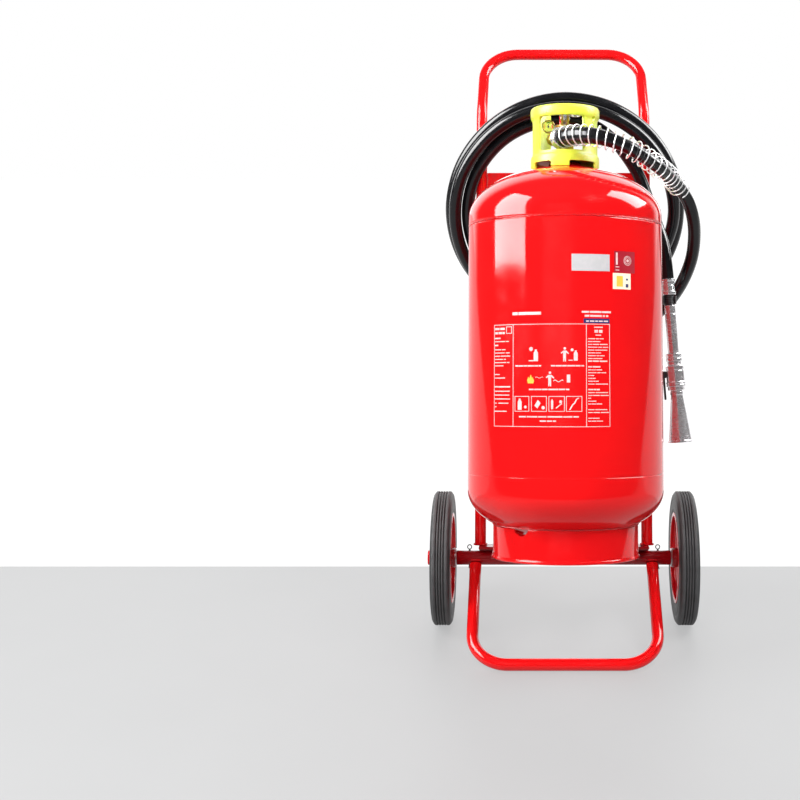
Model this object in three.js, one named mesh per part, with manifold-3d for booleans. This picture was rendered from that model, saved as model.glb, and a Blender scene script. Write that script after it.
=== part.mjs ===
// Wheeled dry-powder fire extinguisher: a pressure cylinder on a tubular hand truck.
//
// Row frame: millimetres, +X to the right of someone facing the front, +Y to the back, +Z up.
// The truck stands on its two tyres and its foot loop, so its posts lean back by LEAN.
// Everything that leans is drawn upright in the "truck" group: there the origin is the middle
// of the axle, +Z runs along the posts, and the group is turned back about the axle.

import * as THREE from 'three';
import { mergeVertices } from 'three/addons/utils/BufferGeometryUtils.js';
import Module from 'manifold-3d';

const wasm = await Module();
wasm.setup();

const rad = THREE.MathUtils.degToRad;

// ---------- driving dimensions ----------

const GAP = 0.3;                  // left between pieces that touch
const LEAN = rad(15);             // the posts lean back from upright

const WHEEL_R = 115;
const WHEEL_HALF_W = 17;
const WHEEL_X = 210.5;            // middle plane of each wheel
const WHEEL_SIDES = 40;
const HUB_IN = -20;               // ends of the hub, from the wheel's middle plane
const HUB_OUT = 19;

const AXLE_R = 12.5;
const AXLE_HALF = 187;            // half length of the axle tube
const AXLE_SIDES = 24;
const STUB_R = 10;
const STUB_INNER_X = 120;
const CAP_X = 238;                // outer face of the stub axle's head
const PIN_X = 165;                // split pin through tube and stub

const POST_X = 146;
const TUBE_R = 10;
const TUBE_SIDES = 12;
const KINK_Z = 791;               // the handle bends back from here
const HANDLE_Z = 915;
const HANDLE_BACK = 72;
const HANDLE_X = 143;             // the handle narrows a little towards its top
const HANDLE_CORNER_R = 62;
const KINK_R = 60;

const LOOP_X = 154;
const LOOP_R = 10;                // to the flats of its section
const LOOP_ANGLE = rad(47);       // from the posts, forwards and down
const LOOP_CORNER_R = 59;
const LOOP_LENGTH = (WHEEL_R - LOOP_R) / Math.cos(LOOP_ANGLE + LEAN);

const CYL_Y = -178;               // cylinder axis, in front of the posts
const CYL_R = 160;
const CYL_SIDES = 36;
const CYL_LOW = 131;              // bottom of the straight wall
const CYL_TOP = 576;              // top of the straight wall
const LOW_DOME = 80;
const TOP_DOME = 86;
const WALL = 3;
const NECK_HOLE_R = 17;
const NECK_R = 27;
const NECK_TOP = 668;

const RING_R = 118.2;             // foot ring under the cylinder
const RING_WALL = 3.5;
const RING_LOW = 22.3;
const RING_TOP = 74.9;

const GUARD_R = 57.5;
const GUARD_WALL = 3;
const GUARD_LOW = 657;
const GUARD_TOP = 760;
const GUARD_SIDES = 36;
const WINDOW_LOW = 684.4;
const WINDOW_TOP = 741.5;
const WEB_LOW = 670.1;            // floor of the guard, clamped under the valve
const WEB_TOP = 673.1;

const HOSE_R = 11;
const SPRING_R = 18.5;
const COIL_X = 3;
const COIL_Z = 609.5;
const COIL_OUT = 213;
const COIL_IN = 171;
const COIL_HALF = 20;
const COIL_TILT = rad(24);        // its top leans forwards, over the posts

const GUN_X = 181.5;
const GUN_Y = -50;
const GUN_TOP = 486;
const GUN_TILT = rad(4.1);        // the nozzle points a little outwards

// ---------- shape helpers ----------

const v3 = (x, y, z) => new THREE.Vector3(x, y, z);
const v2 = (x, y) => new THREE.Vector2(x, y);

/** Merge shared corners, drop empty triangles and make the faces point out. */
function closed(source) {
  const bare = source.clone();
  bare.deleteAttribute('normal');
  bare.deleteAttribute('uv');
  const merged = mergeVertices(bare, 1e-4);
  const corner = merged.getAttribute('position');
  const index = merged.getIndex().array;
  const kept = [];
  let volume = 0;
  const [a, b, c] = [v3(), v3(), v3()];
  for (let i = 0; i < index.length; i += 3) {
    const [p, q, r] = [index[i], index[i + 1], index[i + 2]];
    if (p === q || q === r || r === p) continue;
    kept.push([p, q, r]);
    a.fromBufferAttribute(corner, p);
    b.fromBufferAttribute(corner, q);
    c.fromBufferAttribute(corner, r);
    volume += a.dot(b.cross(c));
  }
  merged.setIndex(kept.flatMap(([p, q, r]) => (volume > 0 ? [p, q, r] : [p, r, q])));
  return merged;
}

function toSolid(source) {
  const geometry = closed(source);
  return new wasm.Manifold(new wasm.Mesh({
    numProp: 3,
    vertProperties: new Float32Array(geometry.getAttribute('position').array),
    triVerts: new Uint32Array(geometry.getIndex().array),
  }));
}

function toGeometry(solid) {
  const mesh = solid.getMesh();
  const geometry = new THREE.BufferGeometry();
  geometry.setAttribute('position', new THREE.BufferAttribute(mesh.vertProperties, 3));
  geometry.setIndex(new THREE.BufferAttribute(mesh.triVerts, 1));
  return geometry;
}

const join = (...pieces) => toGeometry(pieces.map(toSolid).reduce((all, one) => all.add(one)));
const cut = (piece, ...tools) => toGeometry(
  tools.map(toSolid).reduce((left, tool) => left.subtract(tool), toSolid(piece)));

/** A turned piece about the Z axis: [radius, height] pairs, closed unless it meets the axis. */
function turned(profile, sides, axis = 'z') {
  const points = profile.map(([r, h]) => v2(r, h));
  const onAxis = profile[0][0] === 0 && profile.at(-1)[0] === 0;
  if (!onAxis) points.push(points[0].clone());
  const geometry = closed(new THREE.LatheGeometry(points, sides));
  if (axis === 'z') geometry.rotateX(Math.PI / 2);
  if (axis === 'x') geometry.rotateZ(-Math.PI / 2);
  return geometry;
}

/** A plain ring or, with no bore, a disc. */
function ring(outer, inner, low, high, sides, axis) {
  const rim = [[outer, low], [outer, high]];
  const bore = inner > 0 ? [[inner, high], [inner, low]] : [[0, high], [0, low]];
  return inner > 0 ? turned([...rim, ...bore], sides, axis)
    : turned([bore[1], ...rim, bore[0]], sides, axis);
}

function box(x0, x1, y0, y1, z0, z1) {
  return new THREE.BoxGeometry(x1 - x0, y1 - y0, z1 - z0)
    .translate((x0 + x1) / 2, (y0 + y1) / 2, (z0 + z1) / 2);
}

/** A flat outline in X and Y, raised from low to high. */
function plate(outline, low, high) {
  const shape = new THREE.Shape(outline.map(([x, y]) => v2(x, y)));
  return closed(new THREE.ExtrudeGeometry(shape, { depth: high - low, bevelEnabled: false, steps: 1 }))
    .translate(0, 0, low);
}

/** A flat outline in Y and Z, spread from x0 to x1. */
function sidePlate(outline, x0, x1) {
  return plate(outline, x0, x1).applyMatrix4(new THREE.Matrix4().set(
    0, 0, 1, 0,
    1, 0, 0, 0,
    0, 1, 0, 0,
    0, 0, 0, 1));
}

/** A round bar between two points. */
function bar(from, to, radius, sides) {
  const along = to.clone().sub(from);
  const turn = new THREE.Quaternion().setFromUnitVectors(v3(0, 1, 0), along.clone().normalize());
  return new THREE.CylinderGeometry(radius, radius, along.length(), sides)
    .applyQuaternion(turn)
    .translate((from.x + to.x) / 2, (from.y + to.y) / 2, (from.z + to.z) / 2);
}

/** Points on a circle about (x, y), from one angle to another. */
function arc(x, y, radius, from, to, steps) {
  return Array.from({ length: steps + 1 }, (_, i) => {
    const angle = from + (to - from) * i / steps;
    return [x + radius * Math.cos(angle), y + radius * Math.sin(angle)];
  });
}

/** A path that passes through its own stations, one for each step of a sweep. */
class StationPath extends THREE.Curve {
  constructor(stations) {
    super();
    this.stations = stations;
  }

  getPoint(t) {
    const last = this.stations.length - 1;
    const place = THREE.MathUtils.clamp(t, 0, 1) * last;
    const i = Math.min(Math.floor(place), last - 1);
    return this.stations[i].clone().lerp(this.stations[i + 1], place - i);
  }

  getPointAt(u) {
    return this.getPoint(u);
  }

  getTangentAt(u) {
    const last = this.stations.length - 1;
    const i = Math.round(u * last);
    const before = this.stations[Math.max(i - 1, 0)];
    const here = this.stations[i];
    const after = this.stations[Math.min(i + 1, last)];
    const arriving = here.clone().sub(before).normalize();
    const leaving = after.clone().sub(here).normalize();
    return arriving.add(leaving).normalize();
  }
}

/** Stations along straight lines whose inner corners are bent to a radius. */
function bentStations(corners, radii, steps) {
  const stations = [corners[0]];
  for (let i = 1; i < corners.length - 1; i += 1) {
    const arriving = corners[i].clone().sub(corners[i - 1]).normalize();
    const leaving = corners[i + 1].clone().sub(corners[i]).normalize();
    const angle = arriving.angleTo(leaving);
    const radius = radii[i - 1];
    const start = corners[i].clone().addScaledVector(arriving, -radius * Math.tan(angle / 2));
    const inward = leaving.clone().sub(arriving).normalize();
    const centre = corners[i].clone().addScaledVector(inward, radius / Math.cos(angle / 2));
    const axis = arriving.clone().cross(leaving).normalize();
    for (let k = 0; k <= steps; k += 1) {
      const arm = start.clone().sub(centre).applyAxisAngle(axis, angle * k / steps);
      stations.push(arm.add(centre));
    }
  }
  stations.push(corners.at(-1));
  return stations;
}

/** A solid tube swept along stations, with its section turned so that a flat can face down. */
function sweep(stations, radius, sides, turn = 0) {
  const section = Array.from({ length: sides }, (_, i) => {
    const angle = turn + 2 * Math.PI * (i + 0.5) / sides;
    return v2(radius * Math.cos(angle), radius * Math.sin(angle));
  });
  return closed(new THREE.ExtrudeGeometry(new THREE.Shape(section), {
    steps: stations.length - 1,
    extrudePath: new StationPath(stations),
    bevelEnabled: false,
  }));
}

/** A wedge of a ring about the Z axis, by bearing: 0 faces the front, positive to the right. */
function wedge(inner, outer, fromDeg, toDeg, low, high) {
  const steps = Math.max(2, Math.ceil((toDeg - fromDeg) / 15));
  const [from, to] = [rad(fromDeg - 90), rad(toDeg - 90)];
  const outline = [...arc(0, 0, outer, from, to, steps), ...arc(0, 0, inner, to, from, steps)];
  return plate(outline, low, high);
}

// ---------- materials and the node list ----------

const paint = (color, roughness = 0.25) => new THREE.MeshStandardMaterial({ color, roughness });
const metal = (color, roughness = 0.3) => new THREE.MeshStandardMaterial({
  color, roughness, metalness: 0.9,
});

const RED = paint(0xe01018);
const DARK_RED = paint(0xb80c14);
const YELLOW = paint(0xe8f04a, 0.4);
const RUBBER = paint(0x3a3a3c, 0.85);
const HOSE = paint(0x101012, 0.35);
const BLACK = paint(0x161618, 0.5);
const POWDER = paint(0xd9dde0, 0.95);
const WHITE = paint(0xf4f4f0, 0.5);
const STEEL = metal(0xc8cacc);
const CHROME = metal(0xdedfe2, 0.15);
const BRASS = metal(0xc9a24a);
const GLASS = new THREE.MeshStandardMaterial({
  color: 0xffffff, roughness: 0.05, transparent: true, opacity: 0.3,
});

const extinguisher = new THREE.Group();
const truck = new THREE.Group();
truck.rotation.x = -LEAN;
const rolling = new THREE.Group();
extinguisher.add(truck, rolling);

function add(group, name, geometry, material) {
  const mesh = new THREE.Mesh(geometry, material);
  mesh.name = name;
  group.add(mesh);
  return mesh;
}

// ---------- frame ----------

function buildFrame() {
  const postLow = RING_LOW;
  const frameCorners = [
    v3(-POST_X, 0, postLow),
    v3(-POST_X, 0, KINK_Z),
    v3(-HANDLE_X, HANDLE_BACK, HANDLE_Z),
    v3(HANDLE_X, HANDLE_BACK, HANDLE_Z),
    v3(POST_X, 0, KINK_Z),
    v3(POST_X, 0, postLow),
  ];
  const bends = [KINK_R, HANDLE_CORNER_R, HANDLE_CORNER_R, KINK_R];
  add(truck, 'frame_tube', sweep(bentStations(frameCorners, bends, 6), TUBE_R, TUBE_SIDES), RED);

  const down = v3(0, -Math.sin(LOOP_ANGLE), -Math.cos(LOOP_ANGLE));
  const onLoop = (x, along) => down.clone().multiplyScalar(along).setX(x);
  const loopStart = AXLE_R + 2 * GAP;
  const loopCorners = [
    onLoop(-LOOP_X, loopStart),
    onLoop(-LOOP_X, LOOP_LENGTH),
    onLoop(LOOP_X, LOOP_LENGTH),
    onLoop(LOOP_X, loopStart),
  ];
  const loopFlat = 2 * Math.PI / TUBE_SIDES;
  const loop = sweep(bentStations(loopCorners, [LOOP_CORNER_R, LOOP_CORNER_R], 8),
    LOOP_R / Math.cos(loopFlat / 2), TUBE_SIDES, (LOOP_ANGLE + LEAN) % loopFlat);
  add(truck, 'foot_loop', loop, RED);

  // Two shelf brackets hook over the axle tube and carry the foot ring.
  const shelf = {
    inner: 78, waist: 122, outer: 148, front: -160, step: -30, back: 18, low: 17, high: RING_LOW - GAP,
  };
  for (const [side, sign] of [['left', -1], ['right', 1]]) {
    const span = (a, b) => (sign > 0 ? [a, b] : [-b, -a]);
    const [x0, x1] = span(shelf.inner, shelf.waist);
    const [w0, w1] = span(shelf.inner, shelf.outer);
    const [s0, s1] = span(POST_X - 28, shelf.outer);
    const bracket = join(
      box(x0, x1, shelf.front, shelf.step + 1, shelf.low, shelf.high),
      box(w0, w1, shelf.step, shelf.back, shelf.low, shelf.high),
      box(s0, s1, AXLE_R + 2 * GAP, shelf.back, -AXLE_R, shelf.low + 1),
      box(s0, s1, -8, 8, AXLE_R + GAP, shelf.low + 1));
    add(truck, `shelf_bracket_${side}`, bracket, DARK_RED);
  }

  const barReach = POST_X - TUBE_R - GAP;
  add(truck, 'upper_cross_plate', box(-barReach, barReach, -3, 3, 641, 681), RED);
  add(truck, 'middle_cross_bar', box(-barReach, barReach, -3, 3, 500, 540), RED);

  // A hat-shaped saddle joins the middle bar to the back of the cylinder.
  const saddleHalf = 50;
  const saddleWall = 6;
  const bow = (x, radius) => CYL_Y + Math.sqrt(radius * radius - x * x);
  const across = (half, radius) => Array.from({ length: 9 }, (_, i) => {
    const x = -half + 2 * half * i / 8;
    return [x, bow(x, radius)];
  });
  const touch = CYL_R + 2 * GAP;
  const legBack = -3 - GAP;
  const saddle = plate([
    ...across(saddleHalf, touch),
    [saddleHalf, legBack],
    [saddleHalf - saddleWall, legBack],
    ...across(saddleHalf - saddleWall, touch + saddleWall).reverse(),
    [-saddleHalf + saddleWall, legBack],
    [-saddleHalf, legBack],
  ], 500, 540);
  add(truck, 'cylinder_saddle', saddle, DARK_RED);

  // The hose hangs on a bent flat bar behind the valve guard.
  const front = -3 - GAP;
  const hook = sidePlate([
    [front, 650], [front, 752.5], [-99, 752.5], [-99, 770], [-104, 770], [-104, 747.5],
    [front - 5, 747.5], [front - 5, 650],
  ], -8, 8);
  add(truck, 'hose_hook', hook, RED);

  // The gun's neck is held by an open spring clip on a strut from the right-hand post.
  const clipZ = 449.5;
  const clipHalf = 7;
  const clipX = GUN_X + Math.tan(GUN_TILT) * (GUN_TOP - clipZ);
  const clipIn = 10;
  const clipOut = 12.5;
  const mouth = rad(55);
  const clip = plate([
    ...arc(clipX, GUN_Y, clipOut, -Math.PI / 2 + mouth, 1.5 * Math.PI - mouth, 16),
    ...arc(clipX, GUN_Y, clipIn, 1.5 * Math.PI - mouth, -Math.PI / 2 + mouth, 16),
  ], clipZ - clipHalf, clipZ + clipHalf);
  const strutWay = v2(clipX - POST_X, GUN_Y);
  const strutLength = strutWay.length() - TUBE_R - GAP - (clipIn + 1);
  const strut = box(0, strutLength, -2, 2, -clipHalf, clipHalf)
    .translate(TUBE_R + GAP, 0, 0)
    .rotateZ(strutWay.angle())
    .translate(POST_X, 0, clipZ);
  add(truck, 'gun_clip', join(clip, strut), BLACK);
}

// ---------- axle ----------

function buildAxle() {
  const pinHole = (x) => bar(v3(x, 0, -20), v3(x, 0, 20), 2.1, 10);
  const tubeBore = 10.5;
  const tube = ring(AXLE_R, tubeBore, -AXLE_HALF, AXLE_HALF, AXLE_SIDES, 'x');
  add(truck, 'axle_tube', cut(tube, pinHole(-PIN_X), pinHole(PIN_X)), RED);

  const headLow = CAP_X - 6;
  for (const [side, sign] of [['left', -1], ['right', 1]]) {
    const stub = turned([
      [0, STUB_INNER_X], [STUB_R, STUB_INNER_X], [STUB_R, headLow], [AXLE_R, headLow],
      [AXLE_R, CAP_X - 1], [AXLE_R - 1, CAP_X], [0, CAP_X],
    ], AXLE_SIDES, 'x');
    const drilled = cut(stub, pinHole(PIN_X));
    if (sign < 0) drilled.rotateZ(Math.PI);
    add(truck, `stub_axle_${side}`, drilled, RED);

    const eye = new THREE.TorusGeometry(3.4, 1.1, 8, 14).rotateX(Math.PI / 2)
      .translate(sign * PIN_X, 0, 18.6);
    const shank = bar(v3(sign * PIN_X, 0, -17), v3(sign * PIN_X, 0, 15.6), 1.6, 10);
    add(truck, `split_pin_${side}`, join(shank, eye), BLACK);

    const washerBore = 10.6;
    const washerR = 16;
    const hubIn = WHEEL_X + HUB_IN - GAP;
    const hubOut = WHEEL_X + HUB_OUT + GAP;
    const inner = ring(washerR, washerBore, AXLE_HALF + GAP, hubIn, AXLE_SIDES, 'x');
    const outer = ring(washerR, washerBore, hubOut, headLow - GAP, AXLE_SIDES, 'x');
    for (const washer of [inner, outer]) {
      if (sign < 0) washer.rotateZ(Math.PI);
    }
    add(truck, `inner_washer_${side}`, inner, STEEL);
    add(truck, `outer_washer_${side}`, outer, STEEL);
  }
}

// ---------- wheels ----------

function buildWheel(side, sign) {
  const wheel = new THREE.Group();
  wheel.position.x = sign * WHEEL_X;
  if (sign < 0) wheel.rotation.z = Math.PI;
  rolling.add(wheel);

  const treadR = WHEEL_R / Math.cos(Math.PI / WHEEL_SIDES);
  const flank = [[75.2, 10], [78, 14.5], [92, WHEEL_HALF_W], [108, WHEEL_HALF_W], [treadR, 12]];
  const mirrored = flank.map(([r, a]) => [r, -a]).reverse();
  const tyre = turned([...flank, ...mirrored], WHEEL_SIDES, 'x');
  tyre.rotateX(Math.PI / WHEEL_SIDES);
  add(wheel, `tyre_${side}`, tyre, RUBBER);

  const rimSides = 24;
  const halfRim = [
    [17.2, 0.2], [48, 0.2], [60, 6.5], [74.2, 6.5], [74.2, 14.6], [78, 15.2], [78, 17],
    [72.2, 17], [72.2, 8.7], [59, 8.7], [47, 2.4], [17.2, 2.4],
  ];
  const openings = Array.from({ length: 5 }, (_, i) => {
    const petal = [
      ...arc(44, 0, 10, -Math.PI / 2, Math.PI / 2, 4),
      ...arc(27, 0, 4.5, Math.PI / 2, 1.5 * Math.PI, 2),
    ];
    return plate(petal, -12, 12).rotateY(Math.PI / 2).rotateX(2 * Math.PI * i / 5);
  });
  const discs = [['outer', 1], ['inner', -1]];
  for (const [place, way] of discs) {
    const half = cut(turned(halfRim, rimSides, 'x'), ...openings);
    if (way < 0) half.rotateZ(Math.PI);
    add(wheel, `rim_${place}_${side}`, half, RED);
  }

  const hubBore = 13.4;
  add(wheel, `hub_${side}`, ring(16.8, hubBore, HUB_IN, HUB_OUT, AXLE_SIDES, 'x'), DARK_RED);
  const bush = ring(hubBore - 0.4, STUB_R + 0.5, HUB_IN, HUB_OUT, AXLE_SIDES, 'x');
  add(wheel, `wheel_bush_${side}`, bush, BRASS);
}

// ---------- cylinder ----------

/** Points of an elliptical dome from one radius to another, at a height and rise. */
function dome(full, rise, base, from, to, steps) {
  const angleAt = (r) => Math.asin(Math.min(r / full, 1));
  return Array.from({ length: steps + 1 }, (_, i) => {
    const angle = angleAt(from) + (angleAt(to) - angleAt(from)) * i / steps;
    return [full * Math.sin(angle), base + rise * Math.cos(angle)];
  });
}

function buildCylinder() {
  const inside = CYL_R - WALL;
  const shell = turned([
    ...dome(CYL_R, -LOW_DOME, CYL_LOW, 0, CYL_R, 7),
    ...dome(CYL_R, TOP_DOME, CYL_TOP, CYL_R, NECK_HOLE_R, 7),
    ...dome(inside, TOP_DOME - WALL, CYL_TOP, NECK_HOLE_R, inside, 5),
    ...dome(inside, -LOW_DOME + WALL, CYL_LOW, inside, 0, 5),
  ], CYL_SIDES);
  add(truck, 'cylinder_shell', shell.translate(0, CYL_Y, 0), RED);

  const neck = ring(NECK_R, NECK_HOLE_R, CYL_TOP + TOP_DOME + GAP, NECK_TOP, AXLE_SIDES);
  add(truck, 'neck_ring', neck.translate(0, CYL_Y, 0), DARK_RED);

  const skirt = ring(RING_R, RING_R - RING_WALL, RING_LOW, RING_TOP, CYL_SIDES);
  const drainBearing = rad(-37.6);
  const drainZ = 79;
  const outward = v3(Math.sin(drainBearing), -Math.cos(drainBearing), 0);
  const drain = bar(outward.clone().multiplyScalar(100).setZ(drainZ),
    outward.clone().multiplyScalar(130).setZ(drainZ), 14.5, 20);
  add(truck, 'foot_ring', cut(skirt, drain).translate(0, CYL_Y, 0), RED);

  const fill = inside - 4 * GAP;
  const fillTop = 500;
  const dipHole = 10;
  const powder = turned([
    ...dome(fill, -LOW_DOME + WALL + 4 * GAP, CYL_LOW, dipHole, fill, 5),
    [fill, fillTop], [dipHole, fillTop],
  ], CYL_SIDES);
  add(truck, 'powder_charge', powder.translate(0, CYL_Y, 0), POWDER);

  const dip = ring(9, 7, 62, 640, 16);
  add(truck, 'dip_tube', dip.translate(0, CYL_Y, 0), WHITE);
}

// ---------- valve and its guard ----------

const HEAD_TOP = 732.5;           // flat top of the valve body
const LEVER_Z = 745;              // hinge of the opening lever
const LEVER_HUB_R = 8;
const CAM_RISE = 3.5;             // how far the cam pushes the poppet down
const PIN_RISE = 5;               // safety pin above the hinge
const PORT_Z = 706.5;             // height of the outlet
const HOSE_WAY = v3(0.62, -0.785, 0).normalize();
const PORT_WAY = v3(-HOSE_WAY.y, HOSE_WAY.x, 0).negate();
const PORT_REACH = 26;            // valve axis to the elbow's corner

function buildGuard() {
  const inner = GUARD_R - GUARD_WALL;
  const wall = ring(GUARD_R, inner, GUARD_LOW, GUARD_TOP, GUARD_SIDES);
  const web = ring(inner + 1, NECK_HOLE_R + GAP, WEB_LOW, WEB_TOP, GUARD_SIDES);
  const reach = [GUARD_R - 10, GUARD_R + 10];
  const archTop = 666.5;
  const below = GUARD_LOW - 5;
  const arches = [[-63, -25], [6, 60], [95, 145], [170, 235]];
  const eyeBearing = rad(57);
  const eyeWay = v3(Math.sin(eyeBearing), -Math.cos(eyeBearing), 0);
  const eye = bar(eyeWay.clone().multiplyScalar(45).setZ(739), eyeWay.clone().multiplyScalar(65).setZ(739),
    5, 14);
  const guard = cut(join(wall, web),
    wedge(...reach, -53, 36, WINDOW_LOW, WINDOW_TOP),
    wedge(...reach, 143, 207, WINDOW_LOW, GUARD_TOP + 5),
    ...arches.map(([from, to]) => wedge(...reach, from, to, below, archTop)),
    eye);
  add(truck, 'valve_guard', guard.translate(0, CYL_Y, 0), YELLOW);

  const seal = ring(24, NECK_HOLE_R + GAP, NECK_TOP + GAP, WEB_LOW - GAP, AXLE_SIDES);
  add(truck, 'neck_seal', seal.translate(0, CYL_Y, 0), BLACK);
}

function buildValve() {
  const valve = new THREE.Group();
  valve.position.set(0, CYL_Y, 0);
  truck.add(valve);

  const flangeLow = WEB_TOP + GAP;
  const spigotR = NECK_HOLE_R - 2 * GAP;
  const stalk = turned([
    [0, 640.3], [spigotR, 640.3], [spigotR, 690], [14.5, 690], [14.5, 729], [17, 729],
    [17, HEAD_TOP], [0, HEAD_TOP],
  ], AXLE_SIDES);
  const hexR = 22 / Math.cos(Math.PI / 6);
  const hex = plate(arc(0, 0, hexR, 0, 2 * Math.PI * 5 / 6, 5), flangeLow, flangeLow + 12);
  const ears = [-1, 1].map((sign) => {
    const low = HEAD_TOP - 1;
    const half = LEVER_HUB_R;
    const outline = [[-half, low], [half, low], ...arc(0, LEVER_Z, half, 0, Math.PI, 8)];
    return sidePlate(outline, sign > 0 ? 3 : -6.5, sign > 0 ? 6.5 : -3);
  });
  const inlet = ring(8.5, 0, 630, 694, 20);
  const passage = ring(4.5, 0, 693, 712, 16);
  const gland = ring(2.6, 0, 711, HEAD_TOP + 1, 12);
  const port = bar(v3(0, 0, PORT_Z), PORT_WAY.clone().multiplyScalar(20).setZ(PORT_Z), 5, 14);
  const pivotHole = bar(v3(-10, 0, LEVER_Z), v3(10, 0, LEVER_Z), 2.4, 12);
  const pinHole = bar(v3(-10, 0, LEVER_Z + PIN_RISE), v3(10, 0, LEVER_Z + PIN_RISE), 1.6, 12);
  const body = cut(join(stalk, hex, ...ears), inlet, passage, gland, port, pivotHole, pinHole);
  add(valve, 'valve_body', body, BRASS);

  const poppet = turned([
    [0, 689.4], [7.4, 689.4], [7.4, 693], [2.2, 693.6], [2.2, 736.3], [0, 736.3],
  ], 16);
  add(valve, 'valve_poppet', poppet, STEEL);

  // The lever lies back between the ears. Its hub is a cam that presses the poppet as it
  // is raised, and a curved slot lets it turn past the safety pin.
  const cam = Array.from({ length: 7 }, (_, i) => {
    const turnedBy = i / 6;
    const angle = -Math.PI / 2 - turnedBy * Math.PI / 2;
    const reach = LEVER_HUB_R + CAM_RISE * turnedBy;
    return [reach * Math.cos(angle), LEVER_Z + reach * Math.sin(angle)];
  });
  const leverOutline = [
    ...cam.reverse(),
    [LEVER_HUB_R, LEVER_Z - 4], [20, LEVER_Z - 2],
    ...arc(40, LEVER_Z + 1, 4, -Math.PI / 2, Math.PI / 2, 6),
    [14, LEVER_Z + 5.5], [6, LEVER_Z + LEVER_HUB_R], [-6, LEVER_Z + LEVER_HUB_R],
  ];
  const slotHalf = 1.65;
  const slot = sidePlate([
    ...arc(0, LEVER_Z, PIN_RISE + slotHalf, rad(-22), rad(112), 14),
    ...arc(0, LEVER_Z, PIN_RISE - slotHalf, rad(112), rad(-22), 14),
  ], -4, 4);
  const lever = cut(sidePlate(leverOutline, -2.6, 2.6), slot, pivotHole);
  add(valve, 'opening_lever', lever, CHROME);

  const pivot = bar(v3(-8, 0, LEVER_Z), v3(8, 0, LEVER_Z), 2.05, 12);
  add(valve, 'lever_pivot', pivot, STEEL);

  const pinZ = LEVER_Z + PIN_RISE;
  const shank = bar(v3(-9, 0, pinZ), v3(11, 0, pinZ), 1.25, 10);
  const pull = new THREE.TorusGeometry(7, 1, 8, 20).translate(18, 0, pinZ);
  add(valve, 'safety_pin', join(shank, pull), STEEL);

  buildGauge(valve);
  buildOutlet(valve);
}

function buildGauge(valve) {
  const centre = v3(-28, -12, 729);
  const bodyR = 10.6;
  const stemZ = HEAD_TOP - 5;
  const face = -6;
  const cup = turned([
    [0, 6], [bodyR, 6], [bodyR, face], [9.4, face], [9.4, face + 4], [0, face + 4],
  ], 24, 'y').translate(centre.x, centre.y, centre.z);
  const stem = join(
    bar(centre, v3(centre.x, 0, stemZ), 3.5, 12),
    bar(v3(centre.x, 0, stemZ), v3(-17 - GAP, 0, stemZ), 3.5, 12),
    new THREE.SphereGeometry(4, 12, 8).translate(centre.x, 0, stemZ));
  add(valve, 'gauge_body', join(cup, stem), BRASS);
  const disc = (radius, from, to, sides) => ring(radius, 0, from, to, sides, 'y')
    .translate(centre.x, centre.y, centre.z);
  add(valve, 'gauge_dial', disc(9, face + 3.1, face + 3.7, 24), WHITE);
  add(valve, 'gauge_lens', disc(9, face + 0.2, face + 1, 24), GLASS);
  const needle = plate([[-0.7, -3], [0.7, -3], [0.3, 7.5], [-0.3, 7.5]], 0, 0.5);
  const boss = ring(1.5, 0, 0, 0.8, 12);
  const needlePiece = join(needle, boss).rotateX(Math.PI / 2)
    .translate(centre.x, centre.y + face + 2.8, centre.z);
  add(valve, 'gauge_needle', needlePiece, BLACK);
}

function buildOutlet(valve) {
  const corner = PORT_WAY.clone().multiplyScalar(PORT_REACH).setZ(PORT_Z);
  const along = (distance) => corner.clone().addScaledVector(HOSE_WAY, distance);
  const near = PORT_WAY.clone().multiplyScalar(14.5 + 2 * GAP).setZ(PORT_Z);
  const bore = 5;
  const outside = join(
    bar(near, corner, 8.5, 16),
    new THREE.SphereGeometry(10.5, 16, 10).translate(corner.x, corner.y, corner.z),
    bar(corner, along(13), 9.5, 16));
  const inside = join(
    bar(near.clone().multiplyScalar(0.5).setZ(PORT_Z), corner, bore, 12),
    new THREE.SphereGeometry(bore, 12, 8).translate(corner.x, corner.y, corner.z),
    bar(corner, along(20), bore, 12));
  add(valve, 'outlet_elbow', cut(outside, inside), BRASS);

  const nut = cut(bar(along(13 + GAP), along(25), 18, 20), bar(along(10), along(30), bore, 12));
  add(valve, 'coupling_nut', nut, CHROME);
}

// ---------- hose ----------

const HOSE_START = PORT_WAY.clone().multiplyScalar(PORT_REACH)
  .addScaledVector(HOSE_WAY, 25 + 3 * GAP).add(v3(0, CYL_Y, PORT_Z));

// From the coupling round the right of the cylinder, and down to the coil behind it.
const SPRING_ROUTE = [
  HOSE_START,
  HOSE_START.clone().addScaledVector(HOSE_WAY, 18).setZ(706.6),
  v3(31, -249.5, 704),
  v3(55.5, -261, 698.5),
  v3(79.5, -265, 690.5),
  v3(104, -262.5, 680),
  v3(128, -251, 667.5),
  v3(153, -227, 654),
  v3(175.5, -187.5, 643),
  v3(195.5, -152, 629),
];
const LEAD_ROUTE = [
  v3(211.5, -129, 608.5),
  v3(221, -109, 582),
  v3(225, -83, 553),
  v3(223, -57.5, 522),
  v3(213, -30, 490),
  v3(198, 1, 462),
  v3(177, 30, 437),
  v3(149.5, 54, 418),
  v3(99, 81.5, 406.5),
];
const LEAD_END_ANGLE = rad(-78);
const TAIL_START_ANGLE = rad(62);
const TAIL_ROUTE = [
  v3(108.5, -49, 707.5),
  v3(127.5, -44, 679.5),
  v3(141, -40, 650),
  v3(152.5, -39.5, 616),
  v3(164, -41.5, 583),
  v3(174, -46, 549),
  v3(179, -49, 516),
];

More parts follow.
